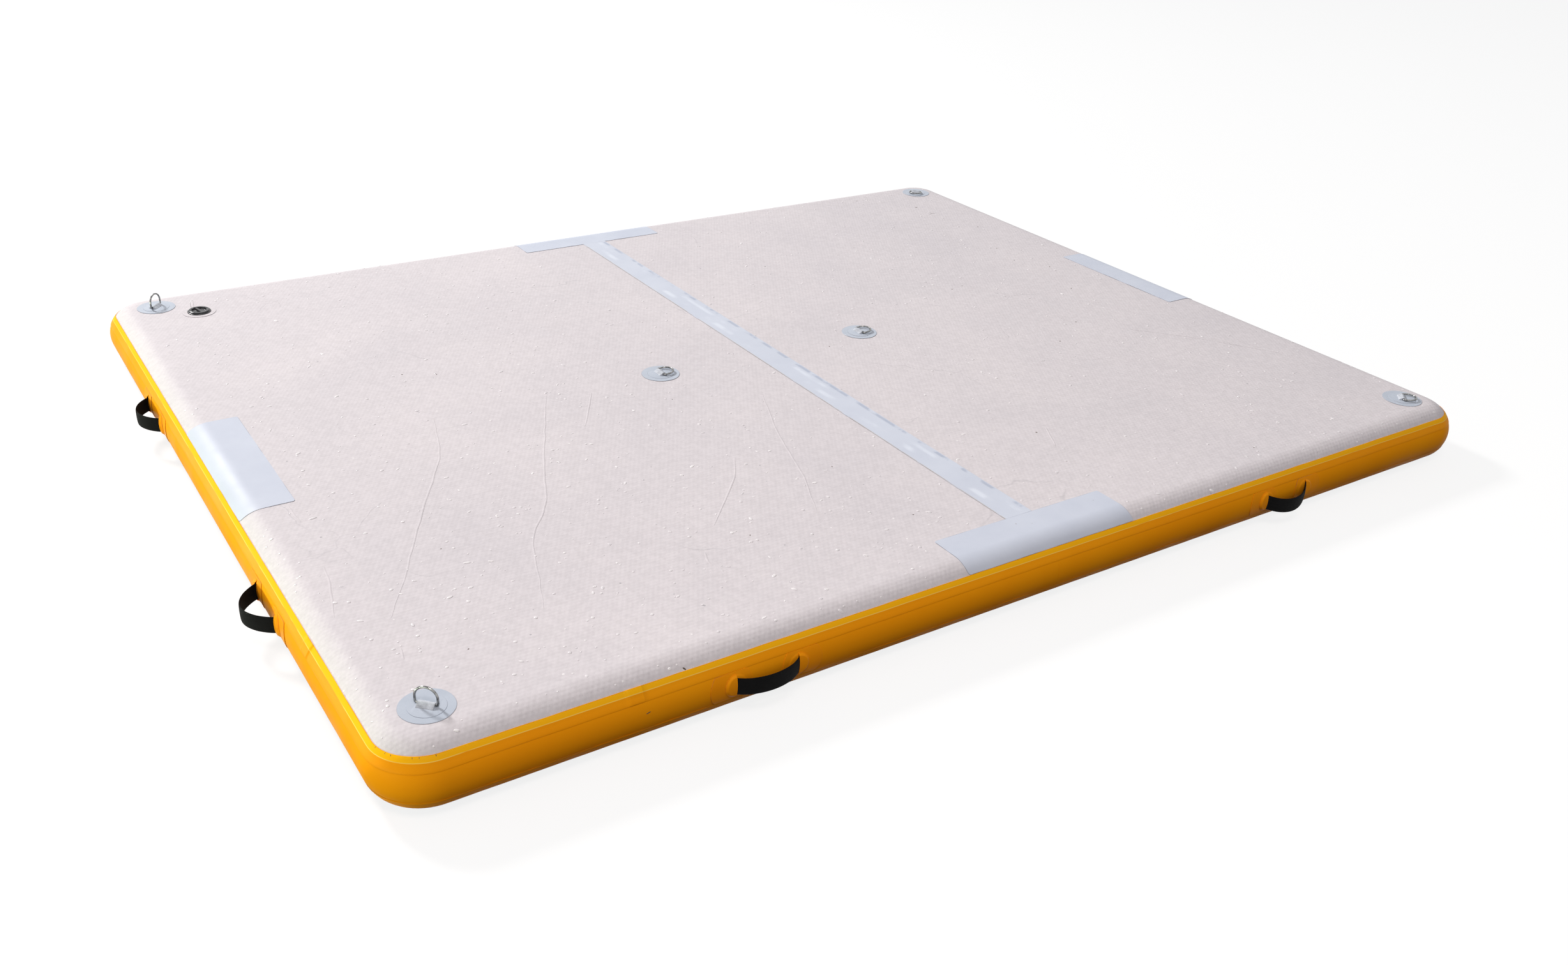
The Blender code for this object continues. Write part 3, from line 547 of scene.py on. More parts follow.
deckFinish = {"roughness": 0.62, "specular": 0.13, "grainScale": 640.0, "grainDepth": 0.00022}


def makeDeckVinyl(name, pull):
    # grey embossed skin; pull is how deep the threads' dimples are beside the grain
    material, shader, spot, sheet = startMaterial(name, deckFinish["roughness"], deckFinish["specular"])
    cloud = placeGroup(mottle, spot, Scale=2.6, Contrast=0.3, First=paints["deckDark"],
                       Second=paints["deckLight"])
    fleck = placeGroup(mottle, spot, Scale=70.0, Contrast=0.9, First=(0.93, 0.93, 0.93), Second=white)
    moved = addNode(spot.id_data, "ShaderNodeMapping", {"Vector": spot, "Location": (7.0, 3.0, 0.0)})
    light = placeGroup(specks, spot, Scale=34.0, Size=0.085, Share=0.22)
    dark = placeGroup(specks, moved.outputs[0], Scale=26.0, Size=0.07, Share=0.25)
    line = placeGroup(creases, spot, Scale=2.3, Width=0.006, Cover=0.56)["Mask"]
    colour = mixColour(1.0, cloud["Color"], fleck["Color"], "MULTIPLY")
    # painted highlight: the raised drops are painted pale where their glint would show
    colour = layOver(colour, light["Mask"], 1.0, paints["dropHighlight"])
    # dark specks: marks on the skin
    colour = layOver(colour, dark["Mask"], 0.7, paints["darkSpeckAndCreaseShade"])
    # painted shade along the creases, in the same dark colour
    colour = layOver(colour, line, 0.28, paints["darkSpeckAndCreaseShade"])
    emboss = placeGroup(grain, spot, Scale=deckFinish["grainScale"])["Height"]
    relief = plus(emboss, plus(times(light["Height"], 1.6), times(line, 1.2)))
    dimples = placeGroup(lattice, sheet)["Height"]
    finishMaterial(shader, colour, plus(relief, times(dimples, pull)), deckFinish["grainDepth"])
    return material


def makeVinyl(name, paint, roughness, specular, scale=3.0, grainDepth=0.00010, border=0.55, rim="dirtAndRimShade",
              lines=()):
    # plain coated fabric with clouds of colour, fine grain, dark specks and a painted shadow line along its
    # rim; each line is an axis of the sheet, its place on it, half its width, solid share, noise scale,
    # cover, strength and paint
    material, shader, spot, sheet = startMaterial(name, roughness, specular)
    colour = placeGroup(mottle, spot, Scale=scale, Contrast=0.4, First=paints[paint + "Dark"],
                        Second=paints[paint + "Light"])["Color"]
    fromBorder = addNode(spot.id_data, "ShaderNodeAttribute", attribute_name="edge").outputs["Fac"]
    # painted shadow line along each sheet's border
    borderShade = placeGroup(brokenLine, spot, Value=fromBorder, Width=0.0012, Solid=0.0, Cover=0.45, Fade=0.18)
    colour = layOver(colour, borderShade["Mask"], border, paints[rim])
    dots = placeGroup(specks, spot, Scale=30.0, Size=0.06, Share=0.10)
    colour = layOver(colour, dots["Mask"], 0.35, paints["dirtAndRimShade"])
    place = addNode(spot.id_data, "ShaderNodeSeparateXYZ", {"Vector": sheet}).outputs
    for axis, centre, width, solid, patch, cover, strength, stroke in lines:
        drawn = placeGroup(brokenLine, spot, Value=place[axis], Centre=centre, Width=width, Solid=solid,
                           Scale=patch, Cover=cover)
        colour = layOver(colour, drawn["Mask"], strength, paints[stroke])
    emboss = placeGroup(grain, spot, Scale=420.0)["Height"]
    finishMaterial(shader, colour, plus(emboss, times(noise(spot, 38.0, 3.0), 2.0)), grainDepth,
                   ramp(noise(spot, 9.0, 3.0), 0.3, 0.7, roughness - 0.07, roughness + 0.07))
    return material


def makeWebbing(name, thread, shade, pitch, roughness, depth):
    # woven strap: the weave's high threads are painted lighter, as if catching the light, and its low ones
    # darker as painted shade
    material, shader, spot, sheet = startMaterial(name, roughness, 0.06)
    cloth = placeGroup(weave, sheet, Pitch=pitch)
    cloud = placeGroup(mottle, spot, Scale=60.0, Contrast=0.7, First=(0.8, 0.8, 0.8),
                       Second=(1.15, 1.15, 1.15))
    # painted shade in the low threads, painted light on the high ones
    colour = mixColour(1.0, mixColour(cloth["Mask"], shade, thread), cloud["Color"], "MULTIPLY")
    fluff = placeGroup(specks, spot, Scale=190.0, Size=0.12, Share=0.05)
    colour = layOver(colour, fluff["Mask"], 0.35, paints["lint"])
    finishMaterial(shader, colour, plus(cloth["Height"], times(noise(spot, 1500.0), 0.25)), depth)
    return material


def makeSteel():
    # polished wire: fine drawn lines along it, small dull spots
    material, shader, spot, sheet = startMaterial("polishedSteel", 0.16, Metallic=1.0)
    stretched = addNode(spot.id_data, "ShaderNodeMapping", {"Vector": sheet, "Scale": (60.0, 2600.0, 1.0)})
    drawn = noise(stretched.outputs[0], 1.0, 3.0)
    cloud = placeGroup(mottle, spot, Scale=160.0, Contrast=0.6, First=(0.13, 0.13, 0.13),
                       Second=(0.38, 0.38, 0.375))
    finishMaterial(shader, cloud["Color"], drawn, 0.00002, ramp(drawn, 0.3, 0.7, 0.12, 0.28))
    return material


def makeMoulding(name, colour, roughness, wear):
    # moulded plastic: slight spark-eroded texture, lighter rubbed spots
    material, shader, spot, sheet = startMaterial(name, roughness)
    rubbed = placeGroup(mottle, spot, Scale=55.0, Contrast=1.0, First=colour, Second=wear)
    dots = placeGroup(specks, spot, Scale=420.0, Size=0.16, Share=0.06)
    finishMaterial(shader, layOver(rubbed["Color"], dots["Mask"], 0.4, paints["dust"]),
                   placeGroup(grain, spot, Scale=1400.0)["Height"], 0.00003,
                   ramp(rubbed["Mask"], 0.2, 0.8, roughness, roughness + 0.14))
    return material


def makeCloudy(name, first, second, scale, contrast, grit, depth, roughness, **sockets):
    # two colours in clouds of a scale and contrast, over a fine grit of a scale and depth
    material, shader, spot, sheet = startMaterial(name, roughness, **sockets)
    cloud = placeGroup(mottle, spot, Scale=scale, Contrast=contrast, First=first, Second=second)
    finishMaterial(shader, cloud["Color"], noise(spot, grit), depth)
    return material


deckVinyl = makeDeckVinyl("deckVinyl", 0.8)
discVinyl = makeDeckVinyl("discVinyl", 0.0)
railVinyl = makeVinyl("railVinyl", "yellow", 0.42, 0.01)
tapeVinyl = makeVinyl("tapeVinyl", "yellow", 0.42, 0.03, border=0.1, lines=(
    ("Y", chamber["tapeWidth"] - chamber["ridge"] / 2, chamber["ridge"] / 2, 0.95, 9.0, -1.0, 0.9,
     "tapeUpper"),
    # painted highlight: a light line along the ridge where the skin's edge shows through
    ("Y", chamber["tapeWidth"] - chamber["ridge"], 0.0012, 0.2, 9.0, 0.30, 0.75, "tapeRidgeHighlight"),
    ("Y", chamber["tapeWidth"] - 0.0006, 0.0010, 0.2, 9.0, 0.36, 0.50, "tapeEdgeRed")))
patchVinyl = makeVinyl("patchVinyl", "patch", 0.42, 0.03, scale=9.0)
# panels, pads and the seam strip: a painted shadow line along their rims
panelVinyl = makeVinyl("panelVinyl", "panel", 0.48, 0.12, scale=6.0, border=0.8, rim="outlineShadow")
padVinyl = makeVinyl("padVinyl", "pad", 0.40, 0.30, scale=14.0, border=0.9, rim="outlineShadow")
stripVinyl = makeVinyl("stripVinyl", "panel", 0.36, 0.30, scale=6.0, border=0.4, rim="outlineShadow", lines=(
    # painted reflection: two lighter bands along the strip
    ("X", 0.028, 0.013, 0.2, 7.0, 0.50, 0.75, "stripReflection"),
    ("X", 0.055, 0.010, 0.2, 9.0, 0.52, 0.65, "stripReflection"),
    # painted shade: a darker band along the strip's right edge, where the seam dips
    ("X", 0.073, 0.008, 0.2, 22.0, 0.44, 0.75, "stripEdgeShade"),
    ("X", 0.0012, 0.0016, 0.2, 12.0, 0.34, 0.75, "glueLine")))
baseVinyl = makeVinyl("baseVinyl", "base", 0.55, 0.45, scale=4.0, grainDepth=0.0002)
blackWebbing = makeWebbing("blackWebbing", (0.007, 0.007, 0.0075), (0.002, 0.002, 0.002), 0.0017, 0.72,
                           0.00045)
paleWebbing = makeWebbing("paleWebbing", (0.64, 0.67, 0.72), (0.42, 0.45, 0.51), 0.0012, 0.6, 0.0003)
yarnCloth = makeWebbing("yarnCloth", (0.82, 0.82, 0.79), (0.62, 0.62, 0.60), 0.0022, 0.8, 0.0004)
polishedSteel = makeSteel()
blackMoulding = makeMoulding("blackMoulding", (0.014, 0.015, 0.017), 0.11, (0.045, 0.046, 0.050))
blackRubber = makeMoulding("blackRubber", (0.018, 0.018, 0.018), 0.55, (0.04, 0.04, 0.04))
clearPlastic = makeCloudy("clearPlastic", (0.86, 0.87, 0.87), (0.97, 0.97, 0.96), 240.0, 0.5, 700.0, 0.00004,
                          0.12, **{"Transmission Weight": 0.75, "IOR": 1.46})
# drops: glossy coat over clouds of deck grey and a painted highlight pale
waterDrop = makeCloudy("waterDrop", paints["deckDark"], paints["dropHighlight"], 40.0, 0.6, 300.0, 0.00005,
                       0.45, specular=0.4, **{"Coat Weight": 0.5, "Coat Roughness": 0.10})
darkMark = makeCloudy("darkMark", (0.06, 0.045, 0.035), (0.16, 0.12, 0.09), 260.0, 0.8, 900.0, 0.0001,
                      0.7, specular=0.2)
paleMark = makeCloudy("paleMark", (0.74, 0.71, 0.66), (0.92, 0.90, 0.86), 260.0, 0.8, 900.0, 0.0001,
                      0.6, specular=0.2)
print("materials made")


# Skins and walls of the chamber

skinGrid = {"columns": 96, "cornerSteps": 22, "sideRows": 130, "rollRows": 12, "wallRows": 22,
            "sag": 0.0003, "pucker": 0.00018, "easeIn": 0.08}


def mirrored(points, side):
    return points if side > 0 else points * np.array([-1.0, 1.0, 1.0])


def halfStations():
    # distances along the right half of the outline, from the seam at the front round to the seam at the rear
    seam = gap / 2
    corner = np.linspace(knots[1], knots[2], skinGrid["cornerSteps"] + 1)
    return np.concatenate([
        np.linspace(seam, knots[1], skinGrid["columns"] + 1), corner[1:],
        np.linspace(knots[2], knots[3], skinGrid["sideRows"] + 1)[1:],
        corner[1:] + knots[3] - knots[1],
        np.linspace(knots[4], perimeter / 2 - seam, skinGrid["columns"] + 1)[1:]])


def skinHalf(side, upper):
    # flat field drawn out from the seam to the core's outline, and the roll down from it to the lap
    half = "right" if side > 0 else "left"
    level = "deck" if upper else "bottom"
    stations = halfStations()
    columns = skinGrid["columns"]
    rim = edgePoint(stations[columns:-columns], math.pi / 2, 0.0)
    x = rim[:, None, 0] * stations[:columns + 1] / knots[1]
    y = np.broadcast_to(rim[:, None, 1], x.shape)
    inside = smooth((halfWidth - rollRadius - np.abs(y)) / skinGrid["easeIn"])
    inside = inside * smooth((halfLength - rollRadius - np.abs(x)) / skinGrid["easeIn"])
    flat = pile(x, y, topHeight - skinGrid["sag"] * inside * (0.5 + 0.5 * ripple(x, y, 0.16, 11 + side)))
    angle = np.linspace(lapAngle, math.pi / 2, skinGrid["rollRows"] + 1)[:, None]
    outward = outlineAt(stations)[1][None] * (rollRadius * (math.pi / 2 - angle))[..., None]
    rollUv = edgePoint(stations, math.pi / 2, 0.0)[:, :2] + outward
    grids = []
    for points, uv in ((flat, flat[..., :2]), (edgePoint(stations[None], angle, 0.0), rollUv)):
        points = mirrored(points, side)
        grids.append((points if upper else upsideDown(points), uv, 1.0, (side < 0) == upper))
    material, slot = (deckVinyl, "deck_skin") if upper else (baseVinyl, "base_skin")
    skin = addPiece(level + "_" + half + "_skin", grids, material, level + "_sheet_" + half)
    addWall(skin, chamber["skin"])


def wallHalf(side):
    # the side band between the two laps, with a slight pucker along its length
    half = "right" if side > 0 else "left"
    stations = halfStations()[None]
    angle = np.linspace(-lapAngle, lapAngle, skinGrid["wallRows"] + 1)[:, None] * (1 - gap / rollRadius)
    pucker = skinGrid["pucker"] * (ripple(stations, angle * rollRadius, 0.11, 21 + side) - 1)
    points = mirrored(edgePoint(stations, angle, pucker), side)
    edge = rollRadius * (lapAngle - np.abs(angle)) + 0.01
    band = addPiece(half + "_wall_band", [(points, pile(stations, angle * rollRadius), edge, side < 0)],
                    railVinyl, "side_wall_" + half)
    addWall(band, chamber["skin"])


for upper in (True, False):
    for side in (-1, 1):
        skinHalf(side, upper)
for side in (-1, 1):
    wallHalf(side)
print("skins made")


# Tapes, panels and the seam strip

tapeLook = {
    "wander": 0.00035, "lift": 0.00012, "step": 0.85, "stepRamp": 0.0005, "stations": 860,
    # where each tape's ends overlap: start along the outline, and length
    "upperJoints": ((-1.0604, 0.032), (knots[6] + straightY + 0.7457, 0.034)),
    "lowerJoints": ((1.90, 0.033), (5.3, 0.030)),
}


def railTape(level, upper, material, seed):
    # a band all round the edge: rounded borders that wander a little, a step where its ends overlap
    along = [np.linspace(0, perimeter, tapeLook["stations"])]
    ends = [(start % perimeter, start % perimeter + length) for start, length in tapeLook[level + "Joints"]]
    for start, end in ends:
        along.append(np.array([start - tapeLook["stepRamp"], start, end, end + tapeLook["stepRamp"]]))
    along = np.unique(np.concatenate(along))[None]
    ridge = 1 - chamber["ridge"] / chamber["tapeWidth"]
    share = [0, 0, 0.02, 0.06, 0.16, 0.35, ridge - 0.03, ridge, ridge + 0.025, 0.8, 0.975, 0.992, 1, 1, 0]
    height = [0, 0.10, 0.35, 0.60, 0.78, 0.80, 0.80, 1.12, 1.15, 1.10, 1.08, 0.95, 0.6, 0, 0]
    share, height = np.array([share, height])[..., None]
    lowWander = tapeLook["wander"] * closedWave(along, (23, 57, 91), seed)
    topWander = tapeLook["wander"] * closedWave(along, (29, 61, 103), seed + 1)
    arc = share * chamber["tapeWidth"] + (1 - share) * lowWander + share * topWander
    step = sum((along >= start) & (along <= end) for start, end in ends) * chamber["tape"] * tapeLook["step"]
    lift = tapeLook["lift"] * closedWave(along, (37, 83, 131), seed + 2)
    points = edgePoint(along, tapeLow + arc / rollRadius, gap + (chamber["tape"] + step + lift) * height)
    grid = (points if upper else upsideDown(points), pile(along, share * chamber["tapeWidth"]),
            np.minimum(share, 1 - share) * chamber["tapeWidth"], not upper)
    addPiece(level + "_tape", [grid], material, level + "_rail_tape", sharpAngle=60.0)


def spacedEnds(length, border, fine, middle):
    # places from 0 to length, closer together near both ends
    start = np.linspace(0, border, fine + 1)
    between = np.linspace(border, length - border, middle + 1)[1:-1]
    return np.concatenate([start, between, length - start[::-1]])


def edgePanel(side):
    # a blank panel from the tape's upper edge over the roll on to the deck, its corners rounded
    length = chamber["panelLength"]
    low = chamber["tapeTop"] * rollRadius + gap
    high = rollArc + chamber["panelInset"] - rollRadius
    radius = chamber["panelCorner"]
    across = spacedEnds(length, radius, 8, 60)[None]
    fromEnd = np.minimum(across, length - across)
    inset = radius - np.sqrt(np.maximum(radius ** 2 - np.maximum(radius - fromEnd, 0) ** 2, 0))
    share = spacedEnds(1.0, 0.06, 6, 40)[:, None]
    arc = low + inset + share * (high - low - 2 * inset)
    wave = 0.00010 * ripple(across, arc, 0.05, 51)
    points = overEdge(sideMiddle[side] - length / 2 + across, arc, layerTop + wave)
    edge = np.minimum(fromEnd, np.minimum(arc - low - inset, high - inset - arc))
    panel = addPiece(side + "_blank_panel", [(points, pile(across, arc - low), edge, False)], panelVinyl,
                     side + "_panel")
    addWall(panel, chamber["tape"])


def seamStrip():
    # the strip over the middle seam: its borders wander, and bubbles of glue lift it slightly
    half = chamber["stripWidth"] / 2
    end = halfWidth - chamber["panelInset"] - gap
    y = np.linspace(-end, end, 260)[:, None]
    share = np.concatenate([[-1, -0.985, -0.95], np.linspace(-0.85, 0.85, 15), [0.95, 0.985, 1]])[None]
    x = share * half + 0.0004 * ripple(y, 0 * y, 0.18, 61)
    lift = 0.00016 * ripple(x, y, 0.05, 62) * smooth((1 - np.abs(share)) / 0.1)
    edge = np.minimum(half * (1 - np.abs(share)), end - np.abs(y))
    grid = (pile(x, y, topHeight + layerTop + lift), pile(x + half, y + end), edge, False)
    addWall(addPiece("seam_strip", [grid], stripVinyl, "deck_seam_strip"), chamber["tape"])


railTape("upper", True, tapeVinyl, 31)
railTape("lower", False, railVinyl, 41)
for side in ("front", "rear", "left", "right"):
    edgePanel(side)
seamStrip()
print("tapes, panels and strip made")


# Round patches laid on a surface

def patchGrid(place, reach, height, steps=96, rings=18, rim=0.00035, cut=math.inf, wobble=0.0, seed=0):
    # a disc of a reach, cut straight above and below: rings of points at full height, then down over the rim
    turn = np.linspace(0, math.tau, steps + 1)[None]
    border = np.minimum(reach, cut / np.maximum(np.abs(np.sin(turn)), 1e-6))
    border = border * (1 + wobble * np.sin(3 * turn + seed) + wobble * 0.6 * np.sin(7 * turn + 2 * seed))
    share = np.concatenate([np.linspace(0, 0.93, rings), [0.975, 1, 1, 1, 0]])[:, None]
    level = np.concatenate([np.ones(rings + 2), [0.6, 0, 0]])[:, None]
    inset = np.concatenate([np.zeros(rings + 1), [rim, 0, 0, 0]])[:, None]
    radius = share * border - inset
    a = radius * np.cos(turn)
    b = radius * np.sin(turn)
    points = place(a, b, gap + level * (height(a, b) - gap))
    return points, pile(a, b), np.maximum(border - radius, 0), True


# Tie-down rings

ringSizes = {
    "padRadius": 0.0515, "coverRadius": 0.0355, "coverRise": 0.0023, "draping": 0.0006,
    "wire": 0.0024, "innerWidth": 0.0389, "arm": 0.0140, "foot": 0.0045,
    "bore": 0.0027, "sleeve": 0.0046, "sleeveLength": 0.0330, "skirt": 0.0125,
    "hem": 0.0004, "hemDrop": 0.0003, "thinWall": 0.0005, "slack": 0.00012,
}
# bearing of each ring's bar and its lean from upright, in degrees
ringPoses = {
    "ring_near": (-45.0, 0.0), "ring_left": (45.0, 0.0), "ring_far": (-45.0, 86.0),
    "ring_right": (45.0, 86.0), "ring_centre_left": (90.0, 86.0), "ring_centre_right": (90.0, 86.0),
}
joints = {joint["child"]: joint for joint in frame["record"]["behaviour"]["joints"]}


def ringPath():
    # the D in its own plane: bar from inside the sleeve to the left foot, arm, half circle, arm, and the
    # right foot, which hooks back in and stops short of the sleeve
    half = ringSizes["innerWidth"] / 2 + ringSizes["wire"]
    foot = ringSizes["foot"]
    hook = foot - 0.0004

    def arc(centreX, centreZ, radius, start, end, steps):
        angle = np.radians(np.linspace(start, end, steps))
        return pile(centreX + radius * np.cos(angle), centreZ + radius * np.sin(angle))

    bar = np.linspace(ringSizes["sleeveLength"] / 2 - 0.001, -half + foot, 12)[:-1]
    flat = np.concatenate([
        pile(bar, 0.0), arc(-half + foot, foot, foot, 270, 180, 9),
        arc(0, ringSizes["arm"], half, 180, 0, 40), arc(half - hook, hook + 0.0009, hook, 0, -97, 10)])
    return pile(flat[:, 0], 0.0, flat[:, 1])


def makeRing(node):
    bearing, lean = (math.radians(v) for v in ringPoses[node])
    turn = np.array(Matrix.Rotation(bearing, 3, "Z") @ Matrix.Rotation(lean, 3, "X"))
    path = ringPath() @ turn.T + np.array(joints[node]["pos_m"])
    wire = sweptGrid(path, turn[:, 1], ringSizes["wire"], 20)
    addPiece(node + "_wire", [wire], polishedSteel, node, node)


def makePad(node):
    # base disc, and cover disc draped over the webbing's tails
    bearing = math.radians(ringPoses[node][0])
    centre = joints[node]["pos_m"]
    seed = len(node)
    drapeLow = layerTop + ringSizes["draping"]

    def toDeck(a, b, rise):
        return onDeck(*turnedPlan(centre, bearing, a, b), rise)

    def baseHeight(a, b):
        return layerTop + 0.00012 * ripple(a, b, 0.03, seed)

    def coverHeight(a, b):
        tails = smooth((0.0205 - np.abs(a)) / 0.004) * smooth((0.027 - np.abs(b)) / 0.007)
        ridge = np.exp(-(np.hypot(a * 0.8, b) / 0.030) ** 6)
        return drapeLow + (ringSizes["coverRise"] - drapeLow) * (0.45 * ridge + 0.55 * tails)

    base = patchGrid(toDeck, ringSizes["padRadius"], baseHeight, wobble=0.0035, seed=seed)
    cover = patchGrid(toDeck, ringSizes["coverRadius"], coverHeight, rings=30, wobble=0.004, seed=seed + 1)
    addPiece(node + "_base", [base], padVinyl, node + "_pad")
    addPiece(node + "_cover", [cover], padVinyl, node + "_pad")
    makeSleeve(node, centre, bearing, seed)


def makeSleeve(node, centre, bearing, seed):
    # webbing round the ring's bar: a star-shaped section, a circle on top and tangents down to the tails,
    # with a round bore
    sleeve = ringSizes["sleeve"]
    drop = centre[2] - topHeight - ringSizes["coverRise"] + 0.0002
    angle = np.linspace(0, math.tau, 73)[None]
    tangentAngle = math.acos(sleeve / math.hypot(ringSizes["skirt"], drop))
    cornerAngle = math.atan2(ringSizes["skirt"], -drop)
    away = np.abs(np.where(angle > math.pi, angle - math.tau, angle))
    touch = cornerAngle - tangentAngle
    sloped = sleeve / np.cos(np.clip(away - touch, 0, tangentAngle))
    below = drop / np.maximum(-np.cos(away), 1e-3)
    outer = np.where(away < touch, sleeve, np.where(away < cornerAngle, sloped, below))

    # along the bar: out over the first end, along the outside, in over the other end, back in the bore
    half = ringSizes["sleeveLength"] / 2
    hem = half - ringSizes["hem"]
    u = np.concatenate([[-half, -half, -hem], np.linspace(-half, half, 12)[1:-1], [hem, half, half],
                        np.linspace(half, -half, 6)[1:]])[:, None]
    step = np.arange(len(u))[:, None]
    inBore = (step == 0) | (step > 14)
    eased = (step == 1) | (step == 14)
    radius = np.where(inBore, ringSizes["bore"], outer - ringSizes["hemDrop"] * eased)
    v = radius * np.sin(angle)
    w = radius * np.cos(angle)
    thick = radius > ringSizes["bore"] + ringSizes["thinWall"]
    slack = ringSizes["slack"] * np.sin(u * 900 + seed) * thick
    spread = 1 + 0.04 * np.abs(u / half) * (np.abs(v) > 0.006)
    x, y = turnedPlan(centre, bearing, u, v * spread)
    sink = onDeck(x, y, 0.0)[..., 2] - topHeight
    points = pile(x, y, centre[2] + w + slack + sink * smooth(-w / drop))
    addPiece(node + "_sleeve", [(points, pile(angle * sleeve, u), 1.0, True)], paleWebbing,
             node + "_pad", sharpAngle=50.0)


for node in ringPoses:
    makeRing(node)
    makePad(node)
print("rings made")


# Grab handles

handleSizes = {
    "halfSpan": 0.0715, "tab": 0.014, "width": 0.038, "thickness": 0.0025, "fullness": 0.75, "cup": 0.0007,
    "patchRadius": 0.0465, "outboard": 0.010, "pocketRadius": 0.0250, "roof": 0.0008, "lip": 0.0004,
    "fromMiddle": {"front": 0.764, "rear": 0.764, "left": 0.520, "right": 0.520},
    "facetTilt": math.radians(7.5),
}
# side, place along it as seen from outside, bow and droop of the strap
handles = {
    "handle_front_left": ("front", -1, 0.024, 0.0), "handle_front_right": ("front", 1, 0.030, 0.012),
    "handle_right_near": ("right", -1, 0.050, 0.0), "handle_right_far": ("right", 1, 0.042, 0.0),
    "handle_rear_right": ("rear", -1, 0.024, 0.0), "handle_rear_left": ("rear", 1, 0.030, 0.012),
    "handle_left_far": ("left", -1, 0.042, 0.0), "handle_left_near": ("left", 1, 0.050, 0.0),
}
tabPlace = gap + 0.0010 + 0.0003 + handleSizes["thickness"] / 2
pocketRise = tabPlace + handleSizes["thickness"] / 2 + 0.0003 + handleSizes["roof"]
patchReach = rollRadius * tapeLow - gap


def makeStrap(name, start, bow, droop):
    # a flat rounded section carried along the centre line: the tab's place, then an arch between the pockets
    half = handleSizes["halfSpan"]
    tab = half + handleSizes["tab"]
    end = np.concatenate([np.linspace(half + 0.003, tab - 0.004, 4), [tab - 0.0006, tab, tab]])
    t = np.concatenate([-end[::-1], half * -np.cos(np.linspace(0, math.pi, 57)), end])
    scale = np.concatenate([[0, 0.8, 1], np.ones(len(t) - 6), [1, 0.8, 0]])[:, None]
    share = np.minimum(np.abs(t) / half, 1.0)
    arch = np.sin(math.pi / 2 * (1 - share)) ** handleSizes["fullness"]
    out = tabPlace + (bow - tabPlace) * arch
    slope = pile(-np.gradient(out), np.gradient(t))
    normalT, normalOut = (slope / np.maximum(np.linalg.norm(slope, axis=1), 1e-9)[:, None]).T[..., None]
    angle = np.linspace(0, math.tau, 41)[None]
    across = signedPower(np.cos(angle), 0.30) * handleSizes["width"] / 2
    thick = signedPower(np.sin(angle), 0.75) * handleSizes["thickness"] / 2 * scale
    wrap = np.maximum(0.0, share * 3 - 2)[:, None] * math.tan(handleSizes["facetTilt"])
    cup = handleSizes["cup"] * (1 - (across / (handleSizes["width"] / 2)) ** 2) * (1 - wrap * 7)
    outward = out[:, None] + normalOut * (thick + cup) - np.abs(across) * wrap
    height = midHeight + across * (0.96 + 0.04 * scale) - droop * arch[:, None]
    base, normal = outlineAt(start + t[:, None] + normalT * (thick + cup))
    points = np.concatenate([base + normal * outward[..., None], height[..., None]], -1)
    uv = pile(runAlong(pile(t, out))[:, None], across + 0.02)
    addPiece(name + "_band", [(points, uv, 1.0, True)], blackWebbing, name + "_strap",
             sharpAngle=70.0)


def makeHandlePatch(name, start, end, seed):
    # a disc on the wall, cut off by the tapes, and the raised pocket over the strap's end
    slit = start + end * handleSizes["halfSpan"]
    outboard = end * handleSizes["outboard"]
    radius = handleSizes["pocketRadius"]
    node = name + "_patch_" + ("left" if end < 0 else "right")

    def toWall(a, b, rise):
        return onRoll(slit + outboard + a, b, rise)

    def height(a, b):
        near = smooth((radius - np.hypot(a + outboard, b)) / 0.004)
        return layerTop + 0.0009 * near * smooth(0.5 - (a + outboard) * end / 0.004)

    disc = patchGrid(toWall, handleSizes["patchRadius"], height, steps=128, rings=30, cut=patchReach,
                     wobble=0.002, seed=seed)
    addPiece(node + "_disc", [disc], patchVinyl, node)

    # pocket: half a dome that starts at the slit, high over the tab and falling to the disc at its rim
    turn = np.linspace(-math.pi / 2, math.pi / 2, 49)[None]
    distance = np.concatenate([np.linspace(0, 0.70, 15), np.linspace(0.72, 1, 14)])[:, None] * radius
    a = end * distance * np.cos(turn)
    b = distance * np.sin(turn)
    low = layerTop + handleSizes["roof"]
    fall = smooth((radius - distance) / 0.0062)
    rise = low + (pocketRise - low + handleSizes["lip"] * np.exp(-np.abs(a) / 0.0012)) * fall
    pocket = (onRoll(slit + a, b, rise), pile(a, b), radius - distance, end > 0)
    addWall(addPiece(node + "_pocket", [pocket], patchVinyl, node), handleSizes["roof"])


for name, (side, spot, bow, droop) in handles.items():
    start = sideMiddle[side] + spot * handleSizes["fromMiddle"][side]
    makeStrap(name, start, bow, droop)
    for end in (-1, 1):
        makeHandlePatch(name, start, end, spot + end)
print("handles made")


# Inflation valve

valveSizes = {
    "patch": 0.0455, "hole": 0.0247, "flange": 0.0320, "flangeThickness": 0.0026, "bowl": 0.0217,
    "barrel": 0.0244, "depth": 0.0340, "seat": 0.0130, "seatThickness": 0.0040,
    "cap": 0.0283, "capThickness": 0.0027, "plugGap": 0.0004, "plugLength": 0.0036,
    "well": 0.0200, "wellDepth": 0.0045, "grip": 0.0060, "gripBearing": math.radians(-78.5),
    "tetherWire": 0.0008, "tetherHeight": 0.0220, "tetherBearings": (122.0, 104.0),
    "springWire": 0.0005, "springTurns": 5, "push": 0.008,
}
valveCentre = np.array([*np.mean(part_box("valve_body"), axis=0)[:2], topHeight])


